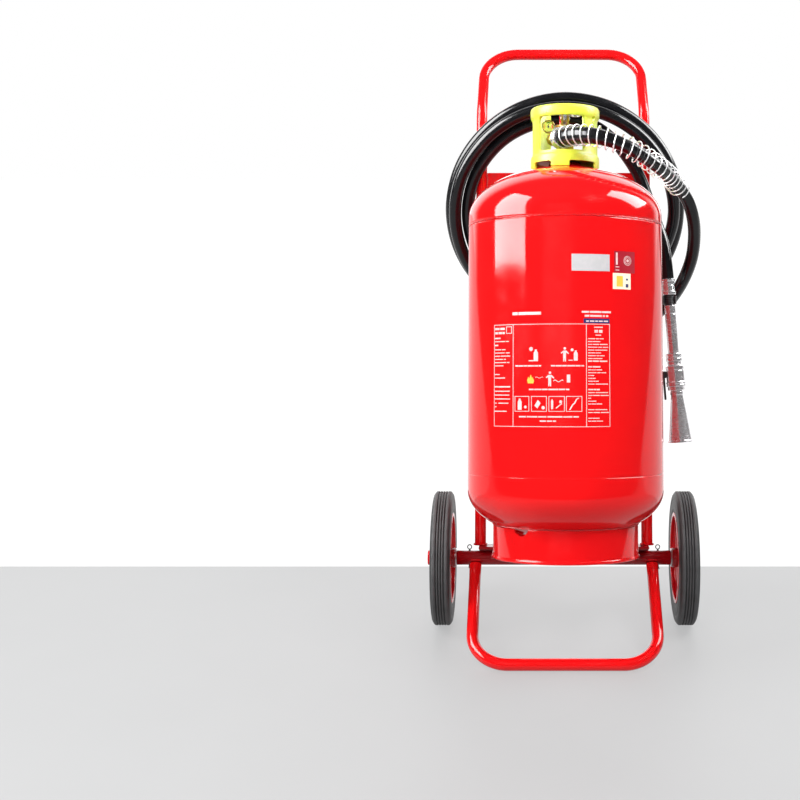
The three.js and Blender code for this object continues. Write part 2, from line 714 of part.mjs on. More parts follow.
/** A place beside the coil: its angle from +X, distance from the centre and depth along its axis. */
function besideCoil(angle, radius, depth) {
  return v3(
    COIL_X + radius * Math.cos(angle),
    -radius * Math.sin(angle) * Math.sin(COIL_TILT) + depth * Math.cos(COIL_TILT),
    COIL_Z + radius * Math.sin(angle) * Math.cos(COIL_TILT) + depth * Math.sin(COIL_TILT));
}

function buildHose() {
  const smooth = (points) => new THREE.CatmullRomCurve3(points, false, 'centripetal');
  const pieceOf = (curve, from, to, count) => {
    const length = curve.getLength();
    const inner = Array.from({ length: count - 1 }, (_, i) => (
      from + (to - from) * (i + 1) / count));
    return [from, from + 1, ...inner, to - 1, to].map((at) => curve.getPointAt(at / length));
  };

  const leadEnd = besideCoil(LEAD_END_ANGLE, COIL_OUT + HOSE_R + 2 * GAP, 0);
  const route = smooth([...SPRING_ROUTE, ...LEAD_ROUTE, leadEnd]);
  const whole = route.getLength();
  const springLength = smooth(SPRING_ROUTE).getLength();
  const spring = sweep(pieceOf(route, 0, springLength, 12), SPRING_R, 12);
  add(truck, 'hose_spring', spring, CHROME);
  const lead = sweep(pieceOf(route, springLength + 3 * GAP, whole, 12), HOSE_R, 10);
  add(truck, 'hose_lead', lead, HOSE);

  const coil = ring(COIL_OUT, COIL_IN, -COIL_HALF, COIL_HALF, 32, 'y')
    .rotateX(COIL_TILT).translate(COIL_X, 0, COIL_Z);
  add(truck, 'hose_coil', coil, HOSE);

  const tailStart = besideCoil(TAIL_START_ANGLE, COIL_IN - HOSE_R - 4 * GAP, 0);
  const tailEnd = v3(GUN_X, GUN_Y, GUN_TOP + 3 * GAP);
  const tailRoute = smooth([tailStart, ...TAIL_ROUTE, tailEnd]);
  const tail = sweep(pieceOf(tailRoute, 0, tailRoute.getLength(), 9), HOSE_R, 10);
  add(truck, 'hose_tail', tail, HOSE);
}

// ---------- gun ----------

function buildGun() {
  const gun = new THREE.Group();
  gun.position.set(GUN_X, GUN_Y, GUN_TOP);
  gun.rotation.y = -GUN_TILT;
  truck.add(gun);
  const bore = 5;

  add(gun, 'hose_ferrule', turned([
    [12.4, 0], [12.4, -4], [11.4, -5], [11.4, -21], [12.4, -22], [12.4, -28], [bore, -28],
    [bore, 0],
  ], 20), STEEL);
  add(gun, 'gun_sleeve', ring(9, bore, -46, -28 - GAP, 20), BLACK);
  add(gun, 'gun_barrel', ring(9.6, bore, -130, -46 - GAP, 20), CHROME);
  add(gun, 'gun_collar', ring(14, bore, -144, -130 - GAP, 24), CHROME);

  const ballZ = -166;
  const cavity = dome(10.6, 10.6, ballZ, bore, 10.6, 4);
  const lowCavity = dome(10.6, -10.6, ballZ, 10.6, bore, 4);
  const bodyShape = turned([
    [bore, -144 - GAP], ...cavity, ...lowCavity.slice(1), [bore, -194], [14.8, -194], [14.8, -187],
    [17, -187], [17, -180], [15.8, -179], [15.8, -152], [12, -150], [12, -144 - GAP],
  ], 24);
  const spindleHole = bar(v3(-20, 0, ballZ), v3(-9, 0, ballZ), 3.4, 12);
  add(gun, 'gun_valve_body', cut(bodyShape, spindleHole), CHROME);

  const ball = cut(new THREE.SphereGeometry(9.6, 20, 12), bar(v3(-12, 0, 0), v3(12, 0, 0), bore - 0.5, 12));
  const turnedBall = ball.rotateZ(Math.PI / 2).translate(0, 0, ballZ);
  add(gun, 'gun_ball', turnedBall, STEEL);

  // Shut-off lever: its hub sits on the spindle at the left of the body.
  const spindle = bar(v3(-22, 0, ballZ), v3(-10, 0, ballZ), 3, 12);
  const hub = bar(v3(-22, 0, ballZ), v3(-15.8 - GAP, 0, ballZ), 6, 14);
  const blade = sidePlate([
    [-4.5, ballZ], [-3.5, ballZ - 40], ...arc(0, ballZ - 40, 3.5, Math.PI, 2 * Math.PI, 5),
    [4.5, ballZ],
  ], -22, -18.5);
  add(gun, 'gun_lever', join(spindle, hub, blade), BLACK);

  const mouthZ = -284;
  add(gun, 'gun_nozzle', turned([
    [10.5, -194 - GAP], [10.5, -203], [20, -281], [21.4, -281], [21.4, mouthZ], [19.2, mouthZ],
    [9, -206], [bore, -203], [bore, -194 - GAP],
  ], 24), CHROME);
}

// ---------- assembly ----------

buildFrame();
buildAxle();
buildWheel('left', -1);
buildWheel('right', 1);
buildCylinder();
buildGuard();
buildValve();
buildHose();
buildGun();

// The lowest point of the wheels is the floor; the box of everything but the hose is centred.
const FOOTPRINT_SHIFT = -11.52;
extinguisher.position.set(0, FOOTPRINT_SHIFT, WHEEL_R);
extinguisher.updateMatrixWorld(true);

export default extinguisher;
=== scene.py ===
"""Wheeled dry-powder fire extinguisher: the looks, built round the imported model.

Shapes are drawn in millimetres in the frame of the part that they belong to, and written to
their meshes in metres in the row frame. The truck's frame has its origin at the middle of the
axle, with +Z along the posts, which lean back by LEAN.
"""

import math

import bmesh
import bpy
from mathutils import Matrix, Quaternion, Vector


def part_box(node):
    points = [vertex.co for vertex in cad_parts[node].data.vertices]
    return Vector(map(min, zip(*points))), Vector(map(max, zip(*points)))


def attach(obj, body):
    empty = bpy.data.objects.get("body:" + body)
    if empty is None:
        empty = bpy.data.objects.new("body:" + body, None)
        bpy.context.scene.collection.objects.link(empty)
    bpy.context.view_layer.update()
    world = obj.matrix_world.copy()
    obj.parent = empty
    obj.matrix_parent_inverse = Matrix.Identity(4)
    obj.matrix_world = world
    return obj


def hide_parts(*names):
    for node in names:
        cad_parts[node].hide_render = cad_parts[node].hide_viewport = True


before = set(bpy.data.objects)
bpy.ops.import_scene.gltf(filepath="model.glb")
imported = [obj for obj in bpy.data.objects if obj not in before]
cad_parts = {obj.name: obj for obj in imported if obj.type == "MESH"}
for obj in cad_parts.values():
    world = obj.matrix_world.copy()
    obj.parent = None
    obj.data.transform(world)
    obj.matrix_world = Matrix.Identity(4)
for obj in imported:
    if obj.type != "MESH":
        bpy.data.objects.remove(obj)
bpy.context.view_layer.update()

MM = 0.001
LEAN = math.radians(15)
BOTTLE_FORWARD = 178
SHARP_EDGE = 32
SIDES = (("left", -1), ("right", 1))


def middle(node):
    low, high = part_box(node)
    return (low + high) / 2


def placed(x, y, z, turn=0.0, axis="Y"):
    """A frame inside another: its origin in millimetres and its turn in degrees."""
    spot = Matrix.Translation(Vector((x, y, z)) * MM)
    return spot @ Matrix.Rotation(math.radians(turn), 4, axis)


AXLE = middle("axle_tube")
TRUCK = Matrix.Translation(AXLE) @ Matrix.Rotation(-LEAN, 4, "X")
BOTTLE = TRUCK @ placed(0, -BOTTLE_FORWARD, 0)
GUN = TRUCK @ placed(181.5, -50, 486, -4.1)


# ---------- camera ----------

CAMERA_PLACE = (-0.045, -2.3317, 1.038)
CAMERA_TILT = 80
CAMERA_SHIFT = (-0.17255, -0.1637)
LENS, SENSOR = 62.73, 36


def make_camera():
    data = bpy.data.cameras.new("camera")
    data.lens = LENS
    data.sensor_width = SENSOR
    data.shift_x, data.shift_y = CAMERA_SHIFT
    camera = bpy.data.objects.new("camera", data)
    camera.location = CAMERA_PLACE
    camera.rotation_euler = (math.radians(CAMERA_TILT), 0, 0)
    bpy.context.scene.collection.objects.link(camera)
    bpy.context.scene.camera = camera


# ---------- shapes: (points, faces), in millimetres ----------

def lathe(profile, sides=64):
    """A turned shape about Z from (radius, height) pairs, on the axis at both ends or closed."""
    on_axis = profile[0][0] == 0 and profile[-1][0] == 0
    points, rows = [], []
    for radius, height in profile:
        if radius == 0:
            rows.append([len(points)] * sides)
            points.append(Vector((0, 0, height)))
            continue
        rows.append(list(range(len(points), len(points) + sides)))
        for i in range(sides):
            a = 2 * math.pi * i / sides
            points.append(Vector((radius * math.cos(a), radius * math.sin(a), height)))
    if not on_axis:
        rows.append(rows[0])
    faces = []
    for here, there in zip(rows, rows[1:]):
        for i in range(sides):
            j = (i + 1) % sides
            corners = [here[i], here[j], there[j], there[i]]
            faces.append(tuple(dict.fromkeys(corners)))
    return points, faces


def eased(profile, radius, steps=3):
    """The same profile with its corners rounded off. Ends on the axis stay."""
    on_axis = profile[0][0] == 0 and profile[-1][0] == 0
    count = len(profile)
    out = []
    for i, point in enumerate(profile):
        here = Vector(point)
        if on_axis and i in (0, count - 1):
            out.append(tuple(here))
            continue
        before = Vector(profile[i - 1]) - here
        after = Vector(profile[(i + 1) % count]) - here
        if before.length < 1e-6 or after.length < 1e-6 or before.angle(after) > math.radians(160):
            out.append(tuple(here))
            continue
        back = min(radius, before.length * 0.45, after.length * 0.45)
        start = here + before.normalized() * back
        end = here + after.normalized() * back
        for k in range(steps + 1):
            t = k / steps
            spot = start * (1 - t) ** 2 + here * (2 * t * (1 - t)) + end * t ** 2
            out.append((max(spot.x, 0.0), spot.y))
    return out


def turned(shape, axis):
    """A shape drawn about Z, laid along X or Y instead."""
    spin = {"x": Matrix.Rotation(math.pi / 2, 4, "Y"), "y": Matrix.Rotation(-math.pi / 2, 4, "X")}
    return moved(shape, spin[axis])


def moved(shape, matrix):
    return [matrix @ p for p in shape[0]], shape[1]


def shifted(shape, x=0.0, y=0.0, z=0.0):
    return moved(shape, Matrix.Translation((x, y, z)))


def spun(shape, degrees, axis="Z"):
    return moved(shape, Matrix.Rotation(math.radians(degrees), 4, axis))


def together(*shapes):
    points, faces = [], []
    for shape in shapes:
        base = len(points)
        points += shape[0]
        faces += [tuple(base + i for i in face) for face in shape[1]]
    return points, faces


def frames_along(points, closed=False):
    """A pair of cross directions at each point, carried along without twisting."""
    count = len(points)
    tangents = []
    for i in range(count):
        before = points[i - 1] if closed or i else points[0]
        after = points[(i + 1) % count] if closed or i < count - 1 else points[-1]
        tangents.append((after - before).normalized())
    side = tangents[0].orthogonal().normalized()
    pairs = []
    for i, tangent in enumerate(tangents):
        if i:
            side = tangents[i - 1].rotation_difference(tangent) @ side
        side = (side - tangent * side.dot(tangent)).normalized()
        pairs.append((side, tangent.cross(side)))
    return pairs


def skin(rows, sides, closed=False):
    """Faces over rows of points, each row a ring with the given number of sides."""
    faces = []
    for i in range(rows if closed else rows - 1):
        n = (i + 1) % rows
        for k in range(sides):
            j = (k + 1) % sides
            faces.append((i * sides + k, i * sides + j, n * sides + j, n * sides + k))
    return faces


def tube(points, radius, sides=24, reshape=None):
    """A round bar along points. reshape(i, arm) may move a point of the section at point i."""
    ring_points = []
    for i, (spot, (side, up)) in enumerate(zip(points, frames_along(points))):
        r = radius[i] if isinstance(radius, (list, tuple)) else radius
        for k in range(sides):
            a = 2 * math.pi * k / sides
            arm = side * (r * math.cos(a)) + up * (r * math.sin(a))
            ring_points.append(spot + (reshape(i, arm) if reshape else arm))
    last = (len(points) - 1) * sides
    ends = [tuple(reversed(range(sides))), tuple(range(last, last + sides))]
    return ring_points, skin(len(points), sides) + ends


def loop_tube(points, radius, sides=12):
    """A round bar along a closed ring of points."""
    ring_points = []
    count = len(points)
    centre = sum(points, Vector()) / count
    for i, spot in enumerate(points):
        along = (points[(i + 1) % count] - points[i - 1]).normalized()
        out = (spot - centre - along * (spot - centre).dot(along)).normalized()
        up = along.cross(out)
        for k in range(sides):
            a = 2 * math.pi * k / sides
            ring_points.append(spot + out * (radius * math.cos(a)) + up * (radius * math.sin(a)))
    return ring_points, skin(count, sides, True)


def prism(outline, low, high):
    """A flat outline in X and Y, raised from low to high."""
    count = len(outline)
    points = [Vector((x, y, low)) for x, y in outline] + [Vector((x, y, high)) for x, y in outline]
    faces = [tuple(reversed(range(count))), tuple(range(count, 2 * count))]
    faces += [(i, (i + 1) % count, count + (i + 1) % count, count + i) for i in range(count)]
    return points, faces


def side_prism(outline, x0, x1):
    """A flat outline in Y and Z, spread from x0 to x1."""
    points, faces = prism(outline, x0, x1)
    return [Vector((p.z, p.x, p.y)) for p in points], faces


def arc(x, y, radius, start, end, steps):
    out = []
    for i in range(steps + 1):
        a = math.radians(start + (end - start) * i / steps)
        out.append((x + radius * math.cos(a), y + radius * math.sin(a)))
    return out


def hexagon(radius):
    return arc(0, 0, radius, 0, 300, 5)


def toward(bearing, distance, z):
    """A place round the bottle: its bearing from the front, distance from the middle and height."""
    a = math.radians(bearing)
    return Vector((distance * math.sin(a), -distance * math.cos(a), z))


def from_z(way):
    """The turn that lays the Z axis along the given way."""
    return Vector((0, 0, 1)).rotation_difference(way).to_matrix().to_4x4()


def between(start, end, radius, sides=32):
    """A round bar with eased ends from one point to another."""
    start, end = Vector(start), Vector(end)
    along = end - start
    ease = min(0.4, radius * 0.2)
    bar = lathe(eased([(0, 0), (radius, 0), (radius, along.length), (0, along.length)], ease), sides)
    return moved(bar, Matrix.Translation(start) @ from_z(along.normalized()))


def ball(x, y, z, radius, sides=32):
    angles = [math.pi * i / 16 for i in range(17)]
    arch = [(radius * math.sin(a), -radius * math.cos(a)) for a in angles]
    arch[0], arch[-1] = (0, -radius), (0, radius)
    return shifted(lathe(arch, sides), x, y, z)


def bar_faces(columns):
    """Faces of a bar that has four points a column: low and high inside, then low and high outside."""
    faces = []
    for a in range(0, 4 * columns - 4, 4):
        b = a + 4
        faces += [(a, a + 1, b + 1, b), (a + 2, b + 2, b + 3, a + 3)]
        faces += [(a, b, b + 2, a + 2), (a + 1, a + 3, b + 3, b + 1)]
    last = 4 * columns - 4
    return faces + [(0, 2, 3, 1), (last, last + 1, last + 3, last + 2)]


def curved_window(inner, outer, start, end, low, high, corner):
    """A cutter for a window in a round wall about Z, by bearing, with rounded corners."""
    middle_r = (inner + outer) / 2
    width = math.radians(end - start) * middle_r
    offsets = [corner * (1 - math.cos(math.pi / 2 * i / 5)) for i in range(6)]
    inside = [corner + (width - 2 * corner) * i / 16 for i in range(1, 16)]
    columns = offsets + inside + [width - x for x in reversed(offsets)]
    points = []
    for x in columns:
        edge = min(x, width - x)
        inset = corner - math.sqrt(max(corner ** 2 - max(corner - edge, 0) ** 2, 0))
        a = math.radians(start - 90) + x / middle_r
        for radius in (inner, outer):
            for z in (low + inset, high - inset):
                points.append(Vector((radius * math.cos(a), radius * math.sin(a), z)))
    return points, bar_faces(len(columns))


def smooth_route(knots, spacing):
    """Evenly spaced points on a smooth curve through the knots."""
    knots = [Vector(k) for k in knots]
    ends = [knots[0] * 2 - knots[1]] + knots + [knots[-1] * 2 - knots[-2]]
    dense = []
    for i in range(1, len(ends) - 2):
        p0, p1, p2, p3 = ends[i - 1:i + 3]
        t1 = (p1 - p0).length ** 0.5
        t2 = t1 + (p2 - p1).length ** 0.5
        t3 = t2 + (p3 - p2).length ** 0.5
        for k in range(24):
            t = t1 + (t2 - t1) * k / 24
            a1 = p0.lerp(p1, t / t1)
            a2 = p1.lerp(p2, (t - t1) / (t2 - t1))
            a3 = p2.lerp(p3, (t - t2) / (t3 - t2))
            b1 = a1.lerp(a2, t / t2)
            b2 = a2.lerp(a3, (t - t1) / (t3 - t1))
            dense.append(b1.lerp(b2, (t - t1) / (t2 - t1)))
    dense.append(knots[-1])
    return even(dense, spacing)


def even(line, spacing):
    """The same line with points about the given spacing apart."""
    lengths = [0.0]
    for a, b in zip(line, line[1:]):
        lengths.append(lengths[-1] + (b - a).length)
    count = max(2, round(lengths[-1] / spacing))
    out, k = [], 0
    for i in range(count + 1):
        at = lengths[-1] * i / count
        while k < len(line) - 2 and lengths[k + 1] < at:
            k += 1
        step = lengths[k + 1] - lengths[k]
        out.append(line[k].lerp(line[k + 1], (at - lengths[k]) / step if step else 0))
    return out


def bent(corners, radii, steps=12):
    """Points along straight lines whose inner corners are bent to a radius."""
    corners = [Vector(c) for c in corners]
    out = [corners[0]]
    for i, radius in enumerate(radii, 1):
        arriving = (corners[i] - corners[i - 1]).normalized()
        leaving = (corners[i + 1] - corners[i]).normalized()
        angle = arriving.angle(leaving)
        start = corners[i] - arriving * (radius * math.tan(angle / 2))
        centre = corners[i] + (leaving - arriving).normalized() * (radius / math.cos(angle / 2))
        axis = arriving.cross(leaving).normalized()
        for k in range(steps + 1):
            out.append(Matrix.Rotation(angle * k / steps, 3, axis) @ (start - centre) + centre)
    out.append(corners[-1])
    return out


# ---------- from shapes to meshes ----------

def to_object(name, shape):
    mesh = bpy.data.meshes.new(name)
    mesh.from_pydata([tuple(p) for p in shape[0]], [], shape[1])
    tidy = bmesh.new()
    tidy.from_mesh(mesh)
    bmesh.ops.remove_doubles(tidy, verts=tidy.verts, dist=1e-5)
    bmesh.ops.recalc_face_normals(tidy, faces=tidy.faces)
    tidy.to_mesh(mesh)
    tidy.free()
    obj = bpy.data.objects.new(name, mesh)
    bpy.context.scene.collection.objects.link(obj)
    return obj


def from_object(obj):
    """The object's shape with its modifiers applied. The object is removed."""
    bpy.context.view_layer.update()
    mesh = bpy.data.meshes.new_from_object(obj.evaluated_get(bpy.context.evaluated_depsgraph_get()))
    shape = [v.co.copy() for v in mesh.vertices], [tuple(p.vertices) for p in mesh.polygons]
    old = obj.data
    bpy.data.objects.remove(obj)
    bpy.data.meshes.remove(old)
    bpy.data.meshes.remove(mesh)
    return shape


def combined(operation, shape, *others):
    body = to_object("body_", shape)
    tools = [to_object("tool_", other) for other in others]
    for tool in tools:
        step = body.modifiers.new("step", "BOOLEAN")
        step.operation = operation
        step.solver = "EXACT"
        step.object = tool
    result = from_object(body)
    for tool in tools:
        mesh = tool.data
        bpy.data.objects.remove(tool)
        bpy.data.meshes.remove(mesh)
    return result


def cut(shape, *tools):
    return combined("DIFFERENCE", shape, *tools)


def fused(shape, *others):
    return combined("UNION", shape, *others)


def bevelled(shape, width, steps=2, angle=35):
    """The same shape with its sharp edges rounded off."""
    obj = to_object("bevel_", shape)
    step = obj.modifiers.new("bevel", "BEVEL")
    step.width = width
    step.segments = steps
    step.limit_method = "ANGLE"
    step.angle_limit = math.radians(angle)
    step.use_clamp_overlap = True
    step.harden_normals = False
    return from_object(obj)


def cad_shape(node, place):
    """A CAD node's own shape, in millimetres in the given frame, with its flat faces whole."""
    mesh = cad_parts[node].data
    back = place.inverted()
    points = [(back @ v.co) / MM for v in mesh.vertices]
    obj = to_object("copy_", (points, [tuple(p.vertices) for p in mesh.polygons]))
    clean = bmesh.new()
    clean.from_mesh(obj.data)
    bmesh.ops.remove_doubles(clean, verts=clean.verts, dist=1e-3)
    bmesh.ops.dissolve_limit(clean, angle_limit=math.radians(1), verts=clean.verts, edges=clean.edges)
    clean.to_mesh(obj.data)
    clean.free()
    return from_object(obj)


def piece(name, shape, place, material, body="trolley", replaces=()):
    """A finished piece: in place, with its material, riding on its body."""
    obj = to_object(name, shape)
    mesh = obj.data
    mesh.transform(place @ Matrix.Scale(MM, 4))
    mesh.polygons.foreach_set("use_smooth", [True] * len(mesh.polygons))
    mesh.set_sharp_from_angle(angle=math.radians(SHARP_EDGE))
    mesh.materials.append(material)
    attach(obj, body)
    if replaces:
        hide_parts(*([replaces] if isinstance(replaces, str) else replaces))
    return obj


# ---------- materials ----------

class Nodes:
    """Short calls for building a material from nodes."""

    def __init__(self, name):
        self.material = bpy.data.materials.new(name)
        self.material.use_nodes = True
        self.tree = self.material.node_tree
        self.shader = self.tree.nodes["Principled BSDF"]
        self.place = self.tree.nodes.new("ShaderNodeTexCoord").outputs["Object"]

    def feed(self, socket, value):
        """Link another socket to this one, or set its value. Colours come without alpha."""
        if isinstance(value, bpy.types.NodeSocket):
            self.tree.links.new(value, socket)
        elif socket.type == "RGBA":
            socket.default_value = (*value, 1)
        else:
            socket.default_value = value

    def node(self, kind, inputs, **settings):
        made = self.tree.nodes.new(kind)
        for key, value in settings.items():
            setattr(made, key, value)
        for key, value in inputs.items():
            self.feed(made.inputs[key], value)
        return made

    def noise(self, scale, detail=3.0, rough=0.5, vector=None):
        inputs = {"Vector": vector or self.place, "Scale": scale, "Detail": detail, "Roughness": rough}
        return self.node("ShaderNodeTexNoise", inputs).outputs["Fac"]

    def math(self, operation, a, b=0.0, clamp=False):
        return self.node("ShaderNodeMath", {0: a, 1: b}, operation=operation, use_clamp=clamp).outputs[0]

    def range(self, value, low, high, to_low=0.0, to_high=1.0):
        inputs = {"Value": value, "From Min": low, "From Max": high, "To Min": to_low, "To Max": to_high}
        return self.node("ShaderNodeMapRange", inputs).outputs[0]

    def mix(self, factor, a, b):
        """One colour for factor 0, another for factor 1."""
        return self.node("ShaderNodeMix", {"Factor": factor, 6: a, 7: b}, data_type="RGBA").outputs[2]

    def bump(self, height, strength, distance, under=None):
        inputs = {"Height": height, "Strength": strength, "Distance": distance}
        if under is not None:
            inputs["Normal"] = under
        return self.node("ShaderNodeBump", inputs).outputs["Normal"]

    def edges(self):
        """About 1 on outer edges and 0 elsewhere."""
        pointed = self.tree.nodes.new("ShaderNodeNewGeometry").outputs["Pointiness"]
        return self.range(pointed, 0.52, 0.58)

    def set(self, **values):
        for key, value in values.items():
            self.feed(self.shader.inputs[key.replace("_", " ")], value)
        return self.material


def paint(name, colour, deep, gloss=0.07, peel=0.1):
    """Sprayed gloss enamel: slight orange peel, patches of thicker paint, worn edges."""
    n = Nodes(name)
    patch = n.noise(7.0, 4)
    tone = n.mix(n.range(patch, 0.35, 0.65), colour, deep)
    worn = n.math("MULTIPLY", n.edges(), n.range(n.noise(90.0, 5), 0.5, 0.72), True)
    tone = n.mix(n.math("MULTIPLY", worn, 0.35), tone, (0.25, 0.05, 0.05))
    dust = n.range(n.noise(38.0, 6), 0.45, 0.8, gloss, gloss + 0.08)
    skin = n.bump(n.noise(420.0, 2), peel, 0.00012)
    wave = n.bump(n.noise(26.0, 2), 0.05, 0.0012, skin)
    return n.set(Base_Color=tone, Roughness=dust, Normal=wave, Coat_Weight=0.15, Coat_Roughness=0.02,
                 Specular_IOR_Level=0.25)


def plain_metal(name, colour, rough, brushed=0.0, axis_scale=(1, 1, 1), grime=(0.3, 0.27, 0.24),
                dirt=0.25, metallic=1.0):
    """Bare or plated metal, with faint tool marks and dull patches."""
    n = Nodes(name)
    stretch = n.node("ShaderNodeMapping", {"Vector": n.place, "Scale": axis_scale}).outputs[0]
    lines = n.noise(600.0, 2, 0.6, stretch)
    patch = n.range(n.noise(45.0, 5), 0.4, 0.75)
    tone = n.mix(n.math("MULTIPLY", patch, dirt), colour, grime)
    roughness = n.range(lines, 0.3, 0.7, rough - 0.04, rough + 0.08)
    roughness = n.math("ADD", roughness, n.math("MULTIPLY", patch, 0.1))
    return n.set(Base_Color=tone, Metallic=metallic, Roughness=roughness,
                 Normal=n.bump(lines, 0.08 + brushed, 0.0001))


def plastic(name, colour, shade, rough, grain=300.0, depth=0.12, under=0.0):
    """Moulded plastic or rubber with a fine grain, scuffed along its edges."""
    n = Nodes(name)
    patch = n.range(n.noise(14.0, 4), 0.35, 0.7)
    tone = n.mix(patch, colour, shade)
    scuff = n.math("MULTIPLY", n.edges(), n.range(n.noise(150.0, 4), 0.45, 0.7), True)
    pale = tuple(min(1.0, c * 1.25 + 0.03) for c in colour)
    tone = n.mix(n.math("MULTIPLY", scuff, 0.5), tone, pale)
    roughness = n.range(n.noise(60.0, 5), 0.3, 0.7, rough - 0.05, rough + 0.08)
    return n.set(Base_Color=tone, Roughness=roughness, Normal=n.bump(n.noise(grain, 3), depth, 0.0003),
                 Subsurface_Weight=under, Subsurface_Scale=0.004)


def tyre_rubber():
    """Dark rubber, paler where the tread is scuffed, with fine cracks and dust."""
    n = Nodes("tyre_rubber")
    parts = n.node("ShaderNodeSeparateXYZ", {0: n.place}).outputs
    along, up = n.math("SUBTRACT", parts[1], AXLE.y), n.math("SUBTRACT", parts[2], AXLE.z)
    squares = n.math("ADD", n.math("MULTIPLY", up, up), n.math("MULTIPLY", along, along))
    tread = n.range(n.math("SQRT", squares), 0.1118, 0.1142)
    scuffs = n.range(n.noise(55.0, 6), 0.25, 0.75, 0.55, 1.0)
    worn = n.math("MULTIPLY", tread, scuffs)
    base = n.mix(n.range(n.noise(24.0, 5), 0.3, 0.75), (0.007, 0.007, 0.008), (0.016, 0.016, 0.017))
    tone = n.mix(worn, base, (0.075, 0.075, 0.077))
    grain = n.bump(n.noise(700.0, 4), 0.35, 0.0003)
    return n.set(Base_Color=tone, Roughness=n.range(worn, 0.0, 1.0, 0.48, 0.82), Normal=grain,
                 Specular_IOR_Level=0.4)


def hose_rubber():
    """Smooth black rubber hose: a soft shine, faint cloth marks and powder dust."""
    n = Nodes("hose_rubber")
    dust = n.range(n.noise(30.0, 6), 0.5, 0.8)
    tone = n.mix(n.math("MULTIPLY", dust, 0.25), (0.004, 0.004, 0.005), (0.02, 0.02, 0.021))
    wrap = n.bump(n.noise(330.0, 3), 0.1, 0.0003)
    return n.set(Base_Color=tone, Roughness=n.range(n.noise(80.0, 4), 0.3, 0.7, 0.15, 0.25), Normal=wrap,
                 Specular_IOR_Level=0.35, Coat_Weight=0.15, Coat_Roughness=0.05)


def glass_lens():
    n = Nodes("lens_glass")
    smear = n.range(n.noise(70.0, 4), 0.4, 0.8, 0.02, 0.07)
    return n.set(Base_Color=(0.97, 1.0, 0.98), Roughness=smear, Transmission_Weight=1.0, IOR=1.3, Alpha=0.35)


def print_film(name, colour, shade, rough=0.3):
    """Ink or foil on a stuck-on label: faint patches where it is rubbed."""
    n = Nodes(name)
    rub = n.range(n.noise(120.0, 5), 0.45, 0.85)
    tone = n.mix(rub, colour, shade)
    return n.set(Base_Color=tone, Roughness=n.range(n.noise(50.0, 3), 0.3, 0.7, rough, rough + 0.1),
                 Normal=n.bump(n.noise(220.0, 2), 0.08, 0.0002), Coat_Weight=0.1,
                 Specular_IOR_Level=0.3)


RED = paint("red_enamel", (0.72, 0.005, 0.006), (0.66, 0.004, 0.006))
# A darker copy of the red enamel: painted shade for the parts that sit in shade under and behind the cylinder
# (axle tube, shelf brackets, saddle, hubs, neck ring).
SHADE_PAINTED_RED = paint("red_enamel_painted_shade", (0.26, 0.002, 0.005), (0.21, 0.002, 0.004), gloss=0.16)
WELD = paint("painted_weld", (0.58, 0.003, 0.006), (0.45, 0.003, 0.006), gloss=0.2, peel=0.25)
RIM_RED = paint("rim_enamel", (0.6, 0.006, 0.012), (0.5, 0.004, 0.01), gloss=0.12)
YELLOW = plastic("guard_yellow", (0.66, 0.76, 0.05), (0.62, 0.72, 0.035), 0.36, grain=240.0, under=0.15)
TYRE = tyre_rubber()
HOSE = hose_rubber()
BLACK = plastic("black_plastic", (0.012, 0.012, 0.013), (0.022, 0.022, 0.024), 0.4)
SEAL = plastic("seal_rubber", (0.014, 0.014, 0.014), (0.024, 0.024, 0.024), 0.6)
POWDER = plastic("powder_cake", (0.7, 0.73, 0.76), (0.6, 0.63, 0.67), 0.9, grain=900.0, depth=0.6)
WHITE = plastic("white_plastic", (0.85, 0.85, 0.82), (0.78, 0.78, 0.75), 0.45)
STEEL = plain_metal("zinc_steel", (0.6, 0.61, 0.63), 0.3)
CHROME = plain_metal("bright_steel", (0.82, 0.82, 0.84), 0.16, brushed=-0.04, dirt=0.1, metallic=0.86)
NOZZLE = plain_metal("polished_nozzle", (0.76, 0.74, 0.76), 0.18, brushed=-0.05, axis_scale=(0.15, 0.15, 3),
                     dirt=0.1, metallic=0.86)
WIRE = plain_metal("spring_wire", (0.92, 0.92, 0.93), 0.25, dirt=0.08, metallic=0.6)
BRASS = plain_metal("turned_brass", (0.68, 0.47, 0.19), 0.26, grime=(0.22, 0.14, 0.06))
GLASS = glass_lens()
INK = print_film("white_ink", (0.74, 0.56, 0.55), (0.66, 0.36, 0.35))
FILM = print_film("label_film", (0.72, 0.005, 0.006), (0.69, 0.005, 0.006), 0.1)
NAVY = print_film("navy_ink", (0.02, 0.02, 0.11), (0.04, 0.03, 0.12))
FOIL = print_film("grey_foil", (0.45, 0.44, 0.45), (0.52, 0.49, 0.5), 0.35)
WINE = print_film("wine_sticker", (0.33, 0.004, 0.016), (0.4, 0.008, 0.02))
CREAM = print_film("cream_sticker", (0.88, 0.8, 0.62), (0.84, 0.72, 0.5))
AMBER = print_film("amber_ink", (0.86, 0.5, 0.06), (0.8, 0.42, 0.05))
GREEN = print_film("dial_green", (0.25, 0.62, 0.06), (0.22, 0.55, 0.05))
# Pale yellow-green for the gauge's dial: the yellow guard's reflection painted onto a white dial.
GUARD_TINTED_DIAL = print_film("dial_face_painted_reflection", (0.75, 0.82, 0.1), (0.7, 0.78, 0.08), 0.4)


# ---------- hose ----------

COIL_X, COIL_Z, COIL_TILT = 3, 609.5, 24


def beside_coil(degrees, radius, depth):
    """A place by the coil: its angle from +X, distance from the centre and depth."""
    a, tilt = math.radians(degrees), math.radians(COIL_TILT)
    return Vector((
        COIL_X + radius * math.cos(a),
        -radius * math.sin(a) * math.sin(tilt) + depth * math.cos(tilt),
        COIL_Z + radius * math.sin(a) * math.cos(tilt) + depth * math.sin(tilt)))


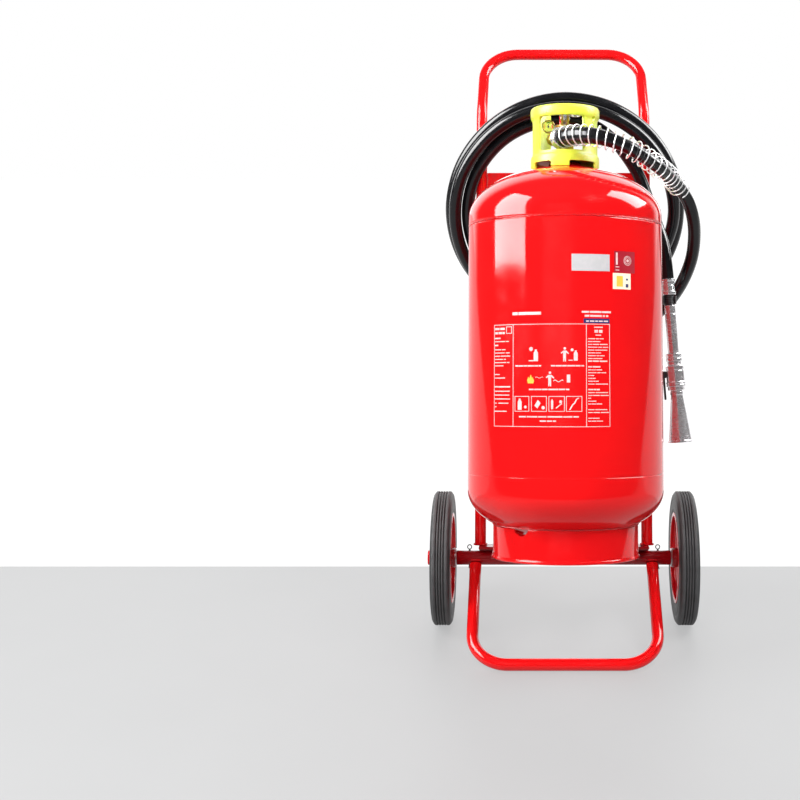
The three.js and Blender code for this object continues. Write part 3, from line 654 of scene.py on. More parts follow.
HOSE_WAY = Vector((0.62, -0.785, 0)).normalized()
PORT_WAY = Vector((HOSE_WAY.y, -HOSE_WAY.x, 0))
PORT_Z = 706.5
ELBOW = 26
HOSE_R = 11
HOSE_SIDES = 28
HOSE_START = PORT_WAY * ELBOW + HOSE_WAY * 25.9 + Vector((0, -BOTTLE_FORWARD, PORT_Z))
SPRING_TURNS = 22
SPRING_R = 17.4
BOOT_LENGTH = 114
SPRING_KNOTS = [
    HOSE_START,
    HOSE_START + HOSE_WAY * 18 + Vector((0, 0, 0.1)),
    (31, -249.5, 704), (55.5, -261, 698.5), (79.5, -265, 690.5), (104, -262.5, 680), (128, -251, 667.5),
    (153, -227, 654), (175.5, -187.5, 643), (195.5, -152, 629),
]
LEAD_KNOTS = [
    (211.5, -129, 608.5), (221, -109, 582), (225, -83, 553), (223, -57.5, 522), (213, -30, 490),
    (198, 1, 462), (177, 30, 437), (149.5, 54, 418),
]
TAIL_KNOTS = [
    (94, -56, 724), (108.5, -49, 707.5), (127.5, -44, 679.5), (141, -40, 650), (152.5, -39.5, 616),
    (164, -41.5, 583), (174, -46, 549), (179, -49, 516), (180.6, -49.7, 499), (181.5, -50, 485),
]
# Where the coil's radius and depth change: angle from +X, radius, depth.
COIL_KEYS = [
    (-66, 236, -9), (-79, 226, 1.5), (-91, 216, 7.5), (-103, 209, 10.5), (-116, 204, 11), (-225, 203, 11),
    (-270, 206, 11), (-365, 204, 10.5), (-385, 204, 10), (-455, 202, -11), (-540, 196, -12), (-720, 194, -12),
    (-765, 183, -9.5), (-810, 179, -4), (-900, 174, 0), (-948, 172.5, 0), (-990, 170.5, -2),
    (-1008, 167, -3.5),
]


def coil_knots():
    """The coil's turns, with a point about every 24 degrees."""
    out = []
    for (a0, r0, d0), (a1, r1, d1) in zip(COIL_KEYS, COIL_KEYS[1:]):
        steps = max(1, round((a0 - a1) / 24))
        for i in range(steps):
            t = i / steps
            soft = t * t * (3 - 2 * t)
            out.append(beside_coil(a0 + (a1 - a0) * t, r0 + (r1 - r0) * soft, d0 + (d1 - d0) * soft))
    out.append(beside_coil(*COIL_KEYS[-1]))
    return out


def line_length(line):
    return sum((b - a).length for a, b in zip(line, line[1:]))


def spring_shape(line):
    """One wire wound round a line, a little closer to it at the far end."""
    count = SPRING_TURNS * 20
    spots = even(line, line_length(line) / count)
    wire = []
    for i, (spot, (side, up)) in enumerate(zip(spots, frames_along(spots))):
        share = i / count
        a = 2 * math.pi * SPRING_TURNS * share
        loose = SPRING_R - 0.9 * max(0.0, share - 0.7) / 0.3
        lift = Vector((0, 0, 0.3 * math.sin(9 * share)))
        wire.append(spot + side * (loose * math.cos(a)) + up * (loose * math.sin(a)) + lift)
    return tube(wire, 1.0, 8)


def boot_radius(i):
    """The boot's radius a millimetre at a time: a short flare, then a long taper to the hose."""
    return min(14.8 + 0.5 * i, max(HOSE_R + 0.2, 16.3 - 0.045 * i))


def make_hose():
    spring_line = smooth_route(SPRING_KNOTS, 1.0)
    line = smooth_route(SPRING_KNOTS + LEAD_KNOTS + coil_knots() + TAIL_KNOTS, 5.5)
    hose = piece("hose", tube(line, HOSE_R, HOSE_SIDES), TRUCK, HOSE,
                 replaces=("hose_lead", "hose_coil", "hose_tail"))

    # A wire spring and a tapered boot stiffen the hose where it leaves the coupling.
    spring = piece("hose_wire_spring", spring_shape(spring_line), TRUCK, WIRE, replaces="hose_spring")
    boot_radii = [boot_radius(i) for i in range(BOOT_LENGTH)]
    boot = piece("hose_boot", tube(spring_line[:BOOT_LENGTH], boot_radii, HOSE_SIDES), TRUCK, HOSE)


make_camera()
make_hose()


# ---------- frame ----------

POST_X, POST_FOOT = 146, 22.3
LOOP_X, LOOP_TOP = 154, 13.3
BAR_R = 10
WHEEL_R = 115
UPPER_PLATE = (641, 681)
MIDDLE_BAR = (500, 540)


def weld_ring(centre, normal, radius, bead=1.6, ripples=26):
    """A rippled weld bead round a bar."""
    normal = Vector(normal).normalized()
    side = normal.orthogonal().normalized()
    up = normal.cross(side)
    count = ripples * 5
    spots = []
    for i in range(count):
        a = 2 * math.pi * i / count
        swell = 0.35 * math.sin(ripples * a)
        spots.append(Vector(centre) + (side * math.cos(a) + up * math.sin(a)) * (radius + swell)
                     + normal * (0.3 * math.sin(ripples * a + 1)))
    return loop_tube(spots, bead, 8)


def weld_line(start, end, bead=1.8):
    """A rippled fillet weld between two points, tapered at its ends."""
    start, end = Vector(start), Vector(end)
    length = (end - start).length
    count = max(8, int(length / 0.8))
    side = (end - start).orthogonal().normalized()
    spots, radii = [], []
    for i in range(count + 1):
        t = i / count
        ripple = math.sin(t * length / 2.6 * 2 * math.pi)
        spots.append(start.lerp(end, t) + side * 0.15 * ripple)
        radii.append(bead * (0.55 + 0.45 * min(1, 8 * t, 8 * (1 - t))) + 0.18 * ripple)
    return tube(spots, radii, 10)


def level_weld(x, half, y, z, bead):
    """A weld along X, half to each side of x."""
    return weld_line((x - half, y, z), (x + half, y, z), bead)


def upright_weld(x, y, low, high, bead):
    return weld_line((x, y, low), (x, y, high), bead)


def foot_loop_shape():
    """The foot loop: its leg ends are pressed flat where they are welded to the axle tube."""
    lean = math.radians(47)
    down = Vector((0, -math.sin(lean), -math.cos(lean)))
    reach = (WHEEL_R - BAR_R) / math.cos(lean + LEAN)
    ends = [down * far + Vector((side * LOOP_X, 0, 0))
            for far, side in ((LOOP_TOP, -1), (reach, -1), (reach, 1), (LOOP_TOP, 1))]
    step, pressed_length, fade_length = 4.0, 9, 26
    line = even(bent(ends, [59, 59], 20), step)
    thick = down.cross(Vector((1, 0, 0))).normalized()

    def pressed(i, arm):
        near = min(i, len(line) - 1 - i) * step
        flat = max(0.0, 1 - max(0.0, near - pressed_length) / fade_length)
        flat = flat * flat * (3 - 2 * flat)
        through = thick * arm.dot(thick)
        across = arm - through
        return across * (1 + 0.04 * flat) + through * (1 - 0.5 * flat)

    return bevelled(tube(line, BAR_R, 40, pressed), 0.8, 2, 60)


def make_frame():
    left_half = [(-POST_X, 0, POST_FOOT), (-POST_X, 0, 791), (-143, 72, 915)]
    corners = left_half + [(-x, y, z) for x, y, z in reversed(left_half)]
    route = bent(corners, [60, 62, 62, 60], 16)
    piece("frame_tube_bent", bevelled(tube(route, BAR_R, 40), 1.2, 3, 60), TRUCK, RED, replaces="frame_tube")
    piece("foot_loop_bent", foot_loop_shape(), TRUCK, RED, replaces="foot_loop")
    for side, sign in SIDES:
        loop_x = sign * LOOP_X
        welds = together(level_weld(loop_x, 9, -9, -10.5, 2.1), level_weld(loop_x, 8.5, -13.2, -2.5, 1.7))
        piece(f"loop_weld_{side}", welds, TRUCK, WELD)
        bracket = bevelled(cad_shape(f"shelf_bracket_{side}", TRUCK), 0.9, 2)
        # The bracket takes the darker red, which is painted shade.
        piece(f"shelf_bracket_pressed_{side}", bracket, TRUCK, SHADE_PAINTED_RED, replaces=f"shelf_bracket_{side}")
        post = together(
            weld_ring((sign * POST_X, 0, 23.4), (0, 0, 1), 10.6, 1.5),
            weld_line((sign * 118.5, 13.2, 17), (sign * 147.5, 13.2, 17), 1.5))
        piece(f"post_weld_{side}", post, TRUCK, WELD)
        joints = [upright_weld(sign * 136.6, y, low + 1, high - 1, 1.7)
                  for low, high in (UPPER_PLATE, MIDDLE_BAR) for y in (-3.6, 3.6)]
        piece(f"cross_welds_{side}", together(*joints), TRUCK, WELD)

    for node in ("upper_cross_plate", "middle_cross_bar", "cylinder_saddle", "hose_hook"):
        # The saddle behind the cylinder takes the darker red, which is painted shade.
        material = SHADE_PAINTED_RED if node == "cylinder_saddle" else RED
        piece(f"{node}_rolled", bevelled(cad_shape(node, TRUCK), 0.9, 3), TRUCK, material, replaces=node)
    low, high = MIDDLE_BAR
    saddle = [upright_weld(sign * 48, -19.3, low + 2, high - 2, 1.8) for sign in (-1, 1)]
    saddle += [upright_weld(sign * 47, -4.4, low + 2, high - 2, 1.4) for sign in (-1, 1)]
    piece("saddle_welds", together(*saddle, level_weld(0, 7, -4.2, 681.6, 1.4)), TRUCK, WELD)


# ---------- axle and wheels ----------

PIN_X = 165


def make_axle():
    """The axle tube, the stub axles, their washers and split pins."""
    shell = [(12.5, -187), (12.5, 187), (10.5, 187), (10.5, -187)]
    holes = [between((x, 0, -20), (x, 0, 20), 2.1, 20) for x in (-PIN_X, PIN_X)]
    drawn = cut(turned(lathe(eased(shell, 0.7, 2), 64), "x"), *holes)
    # The axle tube takes the darker red, which is painted shade.
    piece("axle_tube_drawn", drawn, TRUCK, SHADE_PAINTED_RED, replaces="axle_tube")
    stub = [(0, 120), (10, 120), (10, 232), (12.5, 232), (12.5, 238), (0, 238)]
    for side, sign in SIDES:
        half_turn = 180 if sign < 0 else 0
        shape = turned(lathe(eased(stub, 1.3, 4), 64), "x")
        piece(f"stub_axle_turned_{side}", spun(shape, half_turn), TRUCK, RIM_RED,
              replaces=f"stub_axle_{side}")
        for place, low, high in (("inner", 187.3, 190.2), ("outer", 229.8, 231.7)):
            ring = [(10.6, low), (16, low), (16, high), (10.6, high)]
            shape = turned(lathe(eased(ring, 0.5, 2), 64), "x")
            piece(f"{place}_washer_flat_{side}", spun(shape, half_turn), TRUCK, STEEL,
                  replaces=f"{place}_washer_{side}")
        make_split_pin(side, sign * PIN_X)


def make_split_pin(side, x):
    """A cotter pin: two half-round legs, one longer and bent out, with a round eye."""
    angles = [math.radians(a) for a in range(22, 339, 12)]
    eye = [(x + 3.6 * math.sin(a), 0, 18.6 - 3.6 * math.cos(a)) for a in angles]
    left = [(x - 0.78, 0, z) for z in (14.6, 12, 4, -6, -14, -18.4)]
    right = [(x + out, 0, z) for out, z in (
        (2.4, -19.6), (1.3, -17.2), (0.78, -14), (0.78, -4), (0.78, 12), (0.9, 14.6))]
    wire = tube(smooth_route(right + eye + left, 0.9), 0.85, 12)
    piece(f"split_pin_wire_{side}", wire, TRUCK, BLACK, replaces=f"split_pin_{side}")


def tyre_shape():
    """A solid tyre with four grooves round its tread and a stepped side wall."""
    groove = 112.2
    half = [(75.2, 10), (76.4, 13.2), (78, 14.5), (80.5, 15.4), (83, 15.9), (83.6, 16.6), (86, 16.9),
            (98, 17), (98.6, 16.2), (100.6, 16.2), (101.2, 17), (106, 17), (109.4, 16.3), (112.6, 14.2),
            (114.5, 12.4), (WHEEL_R, 11.2)]
    for x in (6.7, 2.25):
        half += [(WHEEL_R, x + 1.15), (groove, x + 0.75), (groove, x - 0.75), (WHEEL_R, x - 1.15)]
    return half + [(r, -a) for r, a in reversed(half)]


def rim_shape():
    """Half of a pressed rim: a dished disc with a rolled lip and five openings."""
    half = [(17.2, 0.3), (22, 0.3), (48, 0.3), (60, 6.6), (74.2, 6.6), (74.2, 14.6), (78, 15.3), (78.3, 16.2),
            (77.4, 17), (73.2, 17), (72.2, 16), (72.2, 8.8), (59, 8.8), (47, 2.5), (22, 2.5), (17.2, 2.5)]
    disc = turned(lathe(eased(half, 2.2, 4), 120), "x")
    outline = arc(44, 0, 10, -90, 90, 16) + arc(27, 0, 4.5, 90, 270, 8)
    hole = moved(prism(outline, -12, 14), Matrix.Rotation(math.pi / 2, 4, "Y"))
    return bevelled(cut(disc, *[spun(hole, 72 * i, "X") for i in range(5)]), 0.5, 2, 40)


def rim_bolts_shape():
    """Five bolts with a nut on each side of the two rim halves."""
    nut = bevelled(prism(hexagon(4.6), 0, 3.4), 0.5, 2)
    nut = together(nut, lathe(eased([(0, 3), (2.6, 3), (2.6, 5.2), (0, 5.2)], 0.5), 20))
    bolts = []
    for i in range(5):
        a = math.radians(72 * i + 36)
        for way in (-1, 1):
            head = moved(nut, Matrix.Rotation(way * math.pi / 2, 4, "Y"))
            bolts.append(shifted(head, way * 2.6, 30 * math.sin(a), 30 * math.cos(a)))
    return together(*bolts)


def make_wheels():
    tyre = turned(lathe(eased(tyre_shape(), 0.35, 2), 160), "x")
    rim = rim_shape()
    hub = [(13.4, -20), (16.8, -20), (16.8, -3), (18.6, -1), (18.6, 1), (16.8, 3), (16.8, 19), (13.4, 19)]
    hub = turned(lathe(eased(hub, 0.8, 3), 64), "x")
    bush = turned(lathe(eased([(10.5, -20), (13, -20), (13, 19), (10.5, 19)], 0.5, 2), 48), "x")
    bolts = rim_bolts_shape()
    for side, sign in SIDES:
        body = f"wheel_{side}"
        place = Matrix.Translation(middle(f"tyre_{side}"))
        place = place @ Matrix.Rotation(math.pi if sign < 0 else 0, 4, "Z")
        for node, shape, material in (
                ("tyre", tyre, TYRE), ("rim_outer", rim, RIM_RED), ("rim_inner", spun(rim, 180), RIM_RED),
                # The hub takes the darker red, which is painted shade.
                ("hub", hub, SHADE_PAINTED_RED), ("wheel_bush", bush, BRASS)):
            piece(f"{node}_{side}_made", shape, place, material, body, f"{node}_{side}")
        piece(f"rim_bolts_{side}", bolts, place, STEEL, body)


# ---------- cylinder ----------

BODY_R = 160
BODY_LOW, BODY_TOP = 131, 576
SEAM_Z = 563
NECK_R = 17.5


def dome(full, rise, base, start, end, steps):
    """Points of an elliptical dome from one radius to another."""
    a0, a1 = math.asin(min(start / full, 1)), math.asin(min(end / full, 1))
    out = []
    for i in range(steps + 1):
        a = a0 + (a1 - a0) * i / steps
        out.append((full * math.sin(a), base + rise * math.cos(a)))
    return out


def make_cylinder():
    """The welded cylinder, its seams, its neck ring and the ring that it stands on."""
    hollow = BODY_R - 3
    low_groove = [(BODY_R, 157.2), (159.65, 157.7), (159.65, 158.3), (BODY_R, 158.8)]
    top_groove = [(BODY_R, 559.8), (159.4, 560.6), (158.9, 561.8), (158.9, 564.2), (159.4, 565.4),
                  (BODY_R, 566.2)]
    profile = dome(BODY_R, -80, BODY_LOW, 0, BODY_R, 40)
    profile += [(BODY_R, 140)] + low_groove + [(BODY_R, z) for z in (200, 350, 500)] + top_groove
    profile += dome(BODY_R, 86, BODY_TOP, BODY_R, NECK_R, 44) + dome(hollow, 83, BODY_TOP, NECK_R, hollow, 20)
    profile += dome(hollow, -77, BODY_LOW, hollow, 0, 20)[1:]
    profile[0] = (0, profile[0][1])
    profile[-1] = (0, profile[-1][1])
    piece("cylinder_shell_spun", lathe(profile, 192), BOTTLE, RED, replaces="cylinder_shell")

    spots = []
    for i in range(900):
        a = 2 * math.pi * i / 900
        ripple = math.sin(150 * a) + 0.5 * math.sin(37 * a + 1.3)
        r = 158.9 + 0.12 * ripple
        z = SEAM_Z + 0.35 * math.sin(61 * a) + 0.2 * ripple
        spots.append(Vector((r * math.cos(a), r * math.sin(a), z)))
    piece("cylinder_top_seam", loop_tube(spots, 1.25, 8), BOTTLE, WELD)

    neck = eased([(17, 662.3), (27, 662.3), (27, 668), (17, 668)], 1.0, 3)
    # The neck ring under the guard takes the darker red, which is painted shade.
    piece("neck_ring_turned", lathe(neck, 96), BOTTLE, SHADE_PAINTED_RED, replaces="neck_ring")
    piece("neck_weld", weld_ring((0, 0, 661.6), (0, 0, 1), 28, 2.2, 60), BOTTLE, WELD)

    skirt = [(114.7, 22.3), (118.2, 22.3), (119.6, 23.4), (119.6, 26.2), (118.2, 28), (118.2, 74.9),
             (114.7, 74.9)]
    drain = between(toward(-37.6, 100, 79), toward(-37.6, 130, 79), 14.5, 48)
    ring = bevelled(cut(lathe(eased(skirt, 0.9, 2), 160), drain), 0.5, 2, 50)
    piece("foot_ring_rolled", ring, BOTTLE, RED, replaces="foot_ring")
    piece("foot_ring_weld", weld_ring((0, 0, 76.6), (0, 0, 1), 118.0, 1.2, 150), BOTTLE, WELD)


# ---------- label: print and stickers on the cylinder, without any lettering ----------

SKIN_R = BODY_R + 0.04
# The panel's lower and upper edge.
PANEL = (236.2, 394.2)
# How far print lies above the skin, from and to.
PRINT = (0.05, 0.26)
ON_STICKER = (0.2, 0.36)
ON_CREAM = (0.24, 0.4)
LINE = 0.9


def on_skin(bearing, z, lift):
    return toward(bearing, SKIN_R + lift, z)


def slab(b0, b1, z0, z1, low=PRINT[0], high=PRINT[1]):
    """A thin curved rectangle lying on the cylinder, by bearing and height."""
    steps = max(1, math.ceil((b1 - b0) / 1.5))
    points = []
    for i in range(steps + 1):
        b = b0 + (b1 - b0) * i / steps
        points += [on_skin(b, z0, low), on_skin(b, z1, low), on_skin(b, z0, high), on_skin(b, z1, high)]
    return points, bar_faces(steps + 1)


def patch(outline, centre, size=1.0, low=0.05, high=0.3):
    """A small flat figure on the cylinder. Its outline is in millimetres about (bearing, height)."""
    bearing, z = centre
    spots = [(bearing + math.degrees(x * size / SKIN_R), z + y * size) for x, y in outline]
    faces = prism(spots, low, high)[1]
    return [on_skin(b, h, lift) for lift in (low, high) for b, h in spots], faces


def frame_lines(b0, b1, z0, z1, wide=LINE):
    side = math.degrees(wide / SKIN_R)
    return [slab(b0, b1, z0, z0 + wide), slab(b0, b1, z1 - wide, z1),
            slab(b0, b0 + side, z0 + wide, z1 - wide), slab(b1 - side, b1, z0 + wide, z1 - wide)]


def dashes(b0, b1, z, height, pattern=(1,), low=PRINT[0], high=PRINT[1]):
    """A row of plain dashes that stands for a line of print: dash, gap, dash and so on."""
    total = sum(pattern)
    out, at = [], b0
    for i, part in enumerate(pattern):
        step = (b1 - b0) * part / total
        if i % 2 == 0:
            out.append(slab(at, at + step, z, z + 0.8 * height, low, high))
        at += step
    return out


def circle(radius, steps=14):
    return [(radius * math.cos(2 * math.pi * i / steps), radius * math.sin(2 * math.pi * i / steps))
            for i in range(steps)]


PERSON = [(-1.6, -9), (-0.4, -9), (0, -3.5), (0.6, -9), (1.9, -9), (1.9, -1), (2.2, 3), (5.4, 0.8), (6, 2),
          (2.4, 5.6), (-1.4, 5.6), (-5, 2.6), (-4.3, 1.4), (-1.9, 2.9), (-1.8, -1)]
BOTTLE_SIGN = [(-3, -8), (3, -8), (3, 3.5), (1.4, 5.6), (1.4, 7.6), (-1.4, 7.6), (-1.4, 5.6), (-3, 3.5)]
FLAME = [(-3.6, -5), (3.4, -5), (4.4, -1.5), (2.4, 3), (2, 0.4), (0.2, 5.6), (-1.8, 1), (-3, 3), (-4.6, -1)]
NOZZLE_SIGN = [(-1.5, -7.6), (1.5, -7.6), (1.8, 4.6), (0, 8), (-1.8, 4.6)]
HOSE_LINE = [(-8.4 + 1.4 * i, 1.4 * math.sin(i * 0.8)) for i in range(12)]
HOSE_SIGN = HOSE_LINE + [(x, y - 1.2) for x, y in reversed(HOSE_LINE)]
ARM_SIGN = [(-8, -9.4), (-6, -9.4), (-1.6, -2), (1.8, 1), (4.6, 7), (8, 9.2), (7, 10.4), (3.2, 8), (0, 2.2),
            (-3.2, -0.6)]
# Outline, bearing, height and size of each figure in the middle column.
PICTURES = (
    (BOTTLE_SIGN, -17.6, 346, 1.15), ([(-6, -8.4), (3, -8.4), (3, -7), (-6, -7)], -19.4, 346, 1.1),
    (circle(2.6), -20.4, 355.5, 1.2),
    (PERSON, -1.6, 346.5, 1.15), (circle(1.9), -1.4, 356.2, 1.0), (BOTTLE_SIGN, 4.6, 345.5, 1.0),
    (circle(2.2), 2.6, 354, 1.0), ([(-3.4, -8), (3.2, -8), (3.2, -6.8), (-3.4, -6.8)], 1.8, 345.5, 1.0),
    (PERSON, -9.8, 309, 1.2), (circle(1.9), -9.6, 319, 1.0),
    ([(-2.6, -6), (2.6, -6), (2.6, 6), (-2.6, 6)], 0.6, 310, 1.0),
    (HOSE_SIGN, -4.8, 307, 1.0), ([(x * 0.8, y * 0.6) for x, y in HOSE_SIGN], -15.5, 312, 1.0),
    (BOTTLE_SIGN, -27.25, 271, 1.1), (circle(2.2), -23.75, 266.5, 1.0),
    ([(-5, -3), (0, -7), (5, 1), (0.6, 6)], -16.65, 271.5, 1.0), (circle(2.6), -13.45, 265.6, 1.0),
    (NOZZLE_SIGN, -8.45, 271, 1.0),
    ([(-4.6, -6.6), (4.6, 0.8), (4, 2.2), (-5.2, -5.2)], -4.55, 270.6, 1.0), (circle(2.3), -3.75, 274.6, 1.0),
    (ARM_SIGN, 3.65, 271.2, 0.95),
)
# Height and dashes of each line of print in the left column. The tall ones are headings.
LEFT_LINES = (
    (372, (3, 5)), (367.2, (6, 0.4, 1.4, 1)), (361, (2, 7)), (354.5, (4, 0.5, 2, 3)),
    (349.5, (6, 0.6, 2.2, 0.5)), (344.5, (3, 0.4, 5, 0.2)), (339.5, (5, 0.5, 1, 2.6)),
    (334.5, (7, 0.4, 1.4, 0.6)), (329.5, (5, 4)),
    (316, (3, 6)), (310.5, (6, 3)), (296.5, (9, 0.2)), (290, (9, 0.5)), (284, (9, 0.7)), (278, (9, 0.3)),
    (271.5, (1, 1, 5, 1)), (266, (1, 8)), (259, (7, 2)),
)
LEFT_TALL = (0, 2, 11)
# Width in degrees of each line of print in the right column. At 0 the line is left out.
RIGHT_LINES = (9, 7, 11.4, 11.8, 11.2, 7.4, 9.6, 8.2, 11.2, 0, 7, 8, 10.4, 3.4, 4.2, 6, 11.6, 0, 6.6, 11.6,
               12, 1.6, 4.6, 8, 0, 11, 12.2, 0, 6.4, 8.4)
RIGHT_TALL = (8, 10, 18)
RIGHT_DASHES = ((5, 0.5, 2, 0.5, 3), (3, 0.4, 6), (2, 0.3, 3, 0.4, 4))
CAPTION = (2, 0.25, 3, 0.25, 2.2, 0.3, 4, 0.2, 2.4, 0.3, 1.4)


def panel_print():
    """The framed panel in the middle of the label: two columns of lines beside three rows of pictures."""
    low, high = PANEL
    ink = frame_lines(-45.2, 24.3, low, high, 0.85)
    ink += [slab(b, b + 0.3, low, high) for b in (-31.6, 10.4)]

    # left column: a heading sign and lines of print
    ink += frame_lines(-36.2, -32.4, 380, 391)
    ink += dashes(-44.4, -37.2, 386, 4.2, (3, 0.5, 3))
    ink += dashes(-44.4, -37.2, 379.5, 4.2, (2, 0.5, 2.4, 0.4, 1.6))
    for i, (z, pattern) in enumerate(LEFT_LINES):
        ink += dashes(-44.6, -33.2, z, 2.6 if i in LEFT_TALL else 1.7, pattern)

    # right column
    ink += dashes(15.0, 20.0, 388, 2.2) + dashes(15.2, 19.8, 380.5, 5.4, (1, 0.3, 1))
    ink += dashes(15.8, 19.0, 376, 1.8)
    for i, wide in enumerate(RIGHT_LINES):
        if wide:
            height = 2.4 if i in RIGHT_TALL else 1.6
            ink += dashes(11.5, 11.5 + wide, 370.6 - 4.35 * i, height, RIGHT_DASHES[i % 3])

    # middle: pictures, with lines of print under them and four small frames in the last row
    ink += [patch(outline, (bearing, z), size) for outline, bearing, z, size in PICTURES]
    for b0, b1, z in ((-30.0, -14.6, 328.6), (-9.0, 9.2, 328.6), (-21.6, 1.0, 292.4), (-27.6, 6.2, 250.6)):
        ink += dashes(b0, b1, z, 2.6, CAPTION)
    ink += dashes(-15.3, -6.3, 244.2, 2.4, (2, 0.3, 1.6, 0.3, 1))
    for b in (-30.4, -20.3, -10.4, -0.8):
        ink += frame_lines(b, b + 8.9, 259.5, 283.2)
    return ink


def make_label():
    low, high = PANEL
    piece("label_film", slab(-45.6, 24.6, low - 1.5, high + 1.5, 0.0, 0.08), BOTTLE, FILM)
    headings = dashes(-31.9, -14.6, 408.4, 5.6, (2, 0.3, 8))
    headings += dashes(8.0, 25.0, 411.0, 3.6, (3, 0.3, 5, 0.2, 4))
    headings += dashes(9.6, 23.4, 405.0, 3.6, (2, 0.4, 5, 0.4, 1, 0.5, 1))
    piece("label_print", together(*panel_print(), *headings), BOTTLE, INK)
    piece("label_navy_bar", slab(9.0, 24.2, 395.2, 402.4, 0.05, 0.24), BOTTLE, NAVY)
    marks = dashes(10.4, 23.2, 397.4, 2.4, (1.2, 0.5, 2, 0.4, 1.2, 0.4, 1.8, 0.5, 2), 0.22, 0.34)
    piece("label_navy_marks", together(*marks), BOTTLE, INK)
    piece("label_flame", patch(FLAME, (-20.6, 309), 1.25), BOTTLE, AMBER)

    piece("foil_sticker", bevelled(slab(2.4, 24.4, 476, 502.2, 0.0, 0.34), 0.1, 1), BOTTLE, FOIL)
    piece("wine_sticker", slab(27.2, 41.8, 474.8, 508.6, 0.0, 0.26), BOTTLE, WINE)
    seal_at = (36.4, 494)
    seal = []
    for radius in (7.6, 5.4):
        outer, inner = circle(radius, 32), circle(radius - LINE, 32)
        for i in range(32):
            j = (i + 1) % 32
            seal.append(patch([outer[i], outer[j], inner[j], inner[i]], seal_at, 1.0, *ON_STICKER))
    for z in (478, 483):
        seal += dashes(28.2, 30.6, z, 1.6, (1,), *ON_STICKER)
    seal += [slab(28.4, 29.6, 487, 506, *ON_STICKER), patch(circle(2.4), seal_at, 1.0, *ON_STICKER)]
    piece("wine_sticker_marks", together(*seal), BOTTLE, INK)
    piece("cream_sticker", slab(26.4, 38.6, 449, 474.0, 0.0, 0.3), BOTTLE, CREAM)
    piece("cream_sticker_patch", slab(28.8, 33.0, 453, 469.5, *ON_CREAM), BOTTLE, AMBER)
    marks = [slab(35.0, 36.8, 452, 457.5, *ON_CREAM), slab(35.2, 36.6, 463, 466, *ON_CREAM)]
    piece("cream_sticker_marks", together(*marks), BOTTLE, NAVY)


# ---------- valve guard ----------

def make_guard():
    """The moulded guard round the valve, open at the front and the back, with slots in its foot."""
    outer = [(56.6, 657), (57.0, 658.4), (57.0, 674), (56.4, 677.5), (54.4, 680.5), (54.0, 684), (54.0, 736),
             (54.6, 739.5), (56.6, 742.5), (57.5, 746), (57.5, 755), (56.9, 758), (55.2, 760)]
    inner = [(52.4, 760), (51.0, 758.6), (50.6, 756), (50.6, 673.6), (17.6, 673.1), (17.6, 670.1),
             (50.6, 670.1), (53.4, 668.4), (53.8, 657)]
    wall = lathe(eased(outer + inner, 0.8, 2), 144)
    tools = [curved_window(44, 66, start, end, 684.4, high, 6)
             for start, end, high in ((-53, 36, 741.5), (143, 207, 790))]
    tools += [curved_window(50.9, 66, start, end, 640, 666.5, 4)
              for start, end in ((-63, -25), (6, 60), (95, 145), (170, 235))]
    tools.append(between(toward(57, 45, 739), toward(57, 65, 739), 5, 32))
    guard = bevelled(cut(wall, *tools), 0.7, 2, 38)
    piece("valve_guard_moulded", guard, BOTTLE, YELLOW, replaces="valve_guard")
    seal = eased([(17.6, 668.3), (24, 668.3), (24, 669.8), (17.6, 669.8)], 0.4, 2)
    piece("neck_seal_ring", lathe(seal, 64), BOTTLE, SEAL, replaces="neck_seal")


# ---------- valve ----------

HINGE_Z = 745
SAFETY_Z = 750


def up_the_middle(low, high, radius):
    return between((0, 0, low), (0, 0, high), radius)


def make_valve_body():
    """One forging: a threaded stalk, a hexagon and two ears, bored for the stem, the port and both pins."""
    stalk = [(0, 640.3), (16.4, 640.3), (16.4, 686), (15.6, 687.4), (14.5, 688.4), (14.5, 699), (15.3, 700),
             (15.3, 713), (14.5, 714), (14.5, 729), (17, 729), (17, 732.5), (0, 732.5)]
    body = lathe(eased(stalk, 0.8, 3), 72)
    flats = bevelled(prism(hexagon(25.4), 673.4, 685.4), 0.9, 2)
    chamfer = lathe([(0, 672), (24, 672.0), (26.5, 675.6), (26.5, 683.2), (24, 686.8), (0, 686.8)], 72)
    flats = combined("INTERSECT", flats, chamfer)
    ear = [(-8, 731.5), (8, 731.5)] + arc(0, HINGE_Z, 8, 0, 180, 20)
    ears = [bevelled(side_prism(ear, x0, x1), 0.6, 2) for x0, x1 in ((3, 6.5), (-6.5, -3))]
    port = Vector((0, 0, PORT_Z))
    bores = [up_the_middle(630, 694, 8.5), up_the_middle(693, 712, 4.5), up_the_middle(711, 734, 2.6),
             between(port, port + PORT_WAY * 20, 5)]
    bores += [between((-10, 0, z), (10, 0, z), radius) for z, radius in ((HINGE_Z, 2.4), (SAFETY_Z, 1.6))]
    whole = cut(fused(body, flats, *ears), *bores)
    piece("valve_body_forged", whole, BOTTLE, BRASS, replaces="valve_body")


